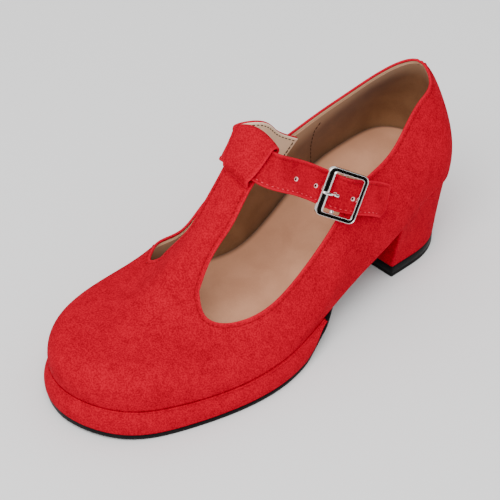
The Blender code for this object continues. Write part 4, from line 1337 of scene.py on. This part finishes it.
def sweep(spine, width, deep, side, count=20, squareness=2.0):  # superellipse sections along a line
    up = np.cross(unit(np.gradient(spine, axis=0)), side)
    width, deep = (np.broadcast_to(half, len(spine))[:, None] for half in (width, deep))
    angle = np.linspace(0, 2 * math.pi, count, endpoint=False)
    c, d = np.cos(angle), np.sin(angle)
    grow = (abs(c) ** squareness + abs(d) ** squareness) ** (-1 / squareness)
    rings = spine[:, None] + side * (width * c * grow)[..., None] + up[:, None] * (deep * d * grow)[..., None]
    return rings.reshape(-1, 3), gridFaces(len(spine), count, closed=True) + endFaces(len(spine), count)


def framePath(halfWidth, halfHeight, corner, forward=0.0):  # closed, its front side moved by forward
    path = []
    for i, (x, y) in enumerate(((1, 1), (-1, 1), (-1, -1), (1, -1))):
        reach = halfWidth - corner - (forward if x < 0 else 0.0)
        for angle in i * math.pi / 2 + np.linspace(0, math.pi / 2, 14):
            bend = corner * math.cos(angle), corner * math.sin(angle)
            path.append((x * reach + bend[0], y * (halfHeight - corner) + bend[1]))
    path = np.array(path)
    share = np.linspace(0, 1, 6, endpoint=False)[:, None]
    return (path[:, None] + (np.roll(path, -1, axis=0) - path)[:, None] * share).reshape(-1, 2)


def frameRing():  # a rounded bar with a hollow in its face, painted near black as a painted reflection
    halfWidth, halfHeight, bar = buckle["width"] / 2, buckle["height"] / 2, buckle["bar"]
    outer = framePath(halfWidth, halfHeight, buckle["corner"])
    inner = framePath(halfWidth - bar, halfHeight - bar, buckle["innerCorner"], buckle["frontBar"] - bar)
    rounding = buckle["rounding"]
    turns = [math.radians(angle) for angle in np.linspace(-90, 90, 9)]
    section = [(rounding * (1 - math.cos(turn)), math.sin(turn)) for turn in turns]  # share inwards, height
    first, last = buckle["hollowFrom"], 1 - buckle["hollowFrom"]
    for share in np.linspace(first, last, 13):
        hollow = math.sin(math.pi * (share - rounding) / (1 - 2 * rounding)) ** buckle["hollowPower"]
        section.append((share, 1.0 - buckle["hollow"] * hollow))
    section += [(1 - rounding * (1 - math.cos(turn)), math.sin(turn)) for turn in turns[::-1]]
    points = []
    for share, high in section:
        out = overStrap + buckle["lift"] + buckle["deep"] * high
        points += [atBuckle(x, y, out) for x, y in outer * (1 - share) + inner * share]
    soft = buckle["hollowSoft"]
    # marks the hollow for its painted reflection
    dips = [ease((share - first) / soft) * ease((last - share) / soft) for share, _ in section]
    faces = gridFaces(len(section), len(outer), closed=True) + lastToFirst(len(section), len(outer))
    return np.array(points), faces, np.repeat(dips, len(outer))


def centreBar():  # passes behind the strap
    _, tangent, _, _ = strapFrame(strapPlaces["buckle"])
    lift = overStrap + buckle["lift"]
    side = (buckle["height"] - buckle["bar"]) / 2
    drop = -(overStrap + buckle["centreBar"] / 2)
    half = [(-side, lift), (-side, drop * 0.4), (-side * 0.97, drop * 0.85), (-side * 0.88, drop)]
    route = np.array([*half, (0.0, drop), *[(-y, z) for y, z in half[::-1]]])
    knots = chordKnots(route)
    fine = np.column_stack([np.interp(np.linspace(0, 1, 60), knots, route[:, k]) for k in (0, 1)])
    spine = np.array([atBuckle(0.0, y, z) for y, z in fine])
    return sweep(spine, buckle["centreBar"] / 2, buckle["centreBar"] / 2, tangent)


def buckleSpine(route, above, count):  # route: along the strap, and out
    route = np.array(route)
    curve = spline(chordKnots(route), route)(np.linspace(0, 1, count))
    return np.array([atBuckle(x, above, z) for x, z in curve])


def addBuckle():
    _, _, across, _ = strapFrame(strapPlaces["buckle"])
    points, faces, dips = frameRing()
    barPoints, barFaces = centreBar()
    faces += [tuple(i + len(points) for i in face) for face in barFaces]
    # the frame's hollow is marked for its painted reflection
    marks = {"paintedDarkChannel": np.concatenate([dips, np.zeros(len(barPoints))])}
    points = np.vstack([points, barPoints])
    addPiece("buckleFrame", points, faces, polishedSteel, ("buckle_frame",), marks)

    top = overStrap + buckle["prong"] / 2
    over = top + buckle["overFrame"] + sizes["gap"]
    front = -buckle["width"] / 2
    route = [(-0.0010, top), (-0.0035, top + 0.0004), (-0.0055, over - 0.0004),
             (front + buckle["bar"], over + 0.0002), (front + 0.0002, over)]
    spine = buckleSpine(route, -buckle["prongBelow"], 48)
    taper = np.interp(np.linspace(0, 1, 48), (0, 0.03, 0.9, 1.0), (0.8, 1.0, 0.82, 0.45))
    radius = buckle["prong"] / 2 * taper
    points, faces = sweep(spine, radius, radius, across)
    addPiece("bucklePin", points, faces, polishedSteel, ("buckle_prong",))

    drop = -(overStrap + buckle["centreBar"] + sizes["gap"] + buckle["elasticThick"])
    route = [(-0.0016, drop), (0.0, drop), (0.0030, drop - 0.0012), (0.0060, drop - 0.0028),
             (0.0085, drop - 0.0048)]
    spine = buckleSpine(route, buckle["elasticAbove"], 40)
    points, faces = sweep(spine, buckle["elasticHalf"], buckle["elasticThick"], across, 40, squareness=8.0)
    addPiece("buckleElastic", points, faces, tanElastic, ("buckle_tab",))


addBuckle()
print("buckle made")


# Studio

def addStudio():
    world = bpy.data.worlds.new("paleRoom")
    bpy.context.scene.world = world
    world.use_nodes = True
    back = world.node_tree.nodes["Background"]
    back.inputs["Color"].default_value = (*studio["sky"], 1.0)
    back.inputs["Strength"].default_value = studio["skyPower"]
    line = np.linspace(-3.0, 3.0, 24)
    points = [(x, y, -0.0001) for y in line for x in line]
    floor = newObject("floor", newMesh("floor", points, gridFaces(24, 24), paleFloor))
    matt = {"Base Color": (0.004, 0.004, 0.004, 1.0), "Roughness": 1.0, "Specular IOR Level": 0.0}
    black = Finish("blackCard", matt).material
    for i, (place, width, height) in enumerate(studio["cards"]):  # seen only in the buckle's metal
        corners = [(x * width / 2, y * height / 2, 0) for x, y in ((-1, -1), (1, -1), (1, 1), (-1, 1))]
        card = newObject("card%d" % i, newMesh("card", corners, [(0, 1, 2, 3)], black))
        aim(card, place, Vector(studio["cardsFace"]) - Vector(place), "Z")
        card.visible_camera = card.visible_diffuse = card.visible_shadow = False
    key = bpy.data.lights.new("softbox", "AREA")
    key.energy = studio["keyPower"]
    key.size = studio["keySize"]
    aim(newObject("softbox", key), studio["keyPlace"], -Vector(studio["keyPlace"]))


addStudio()
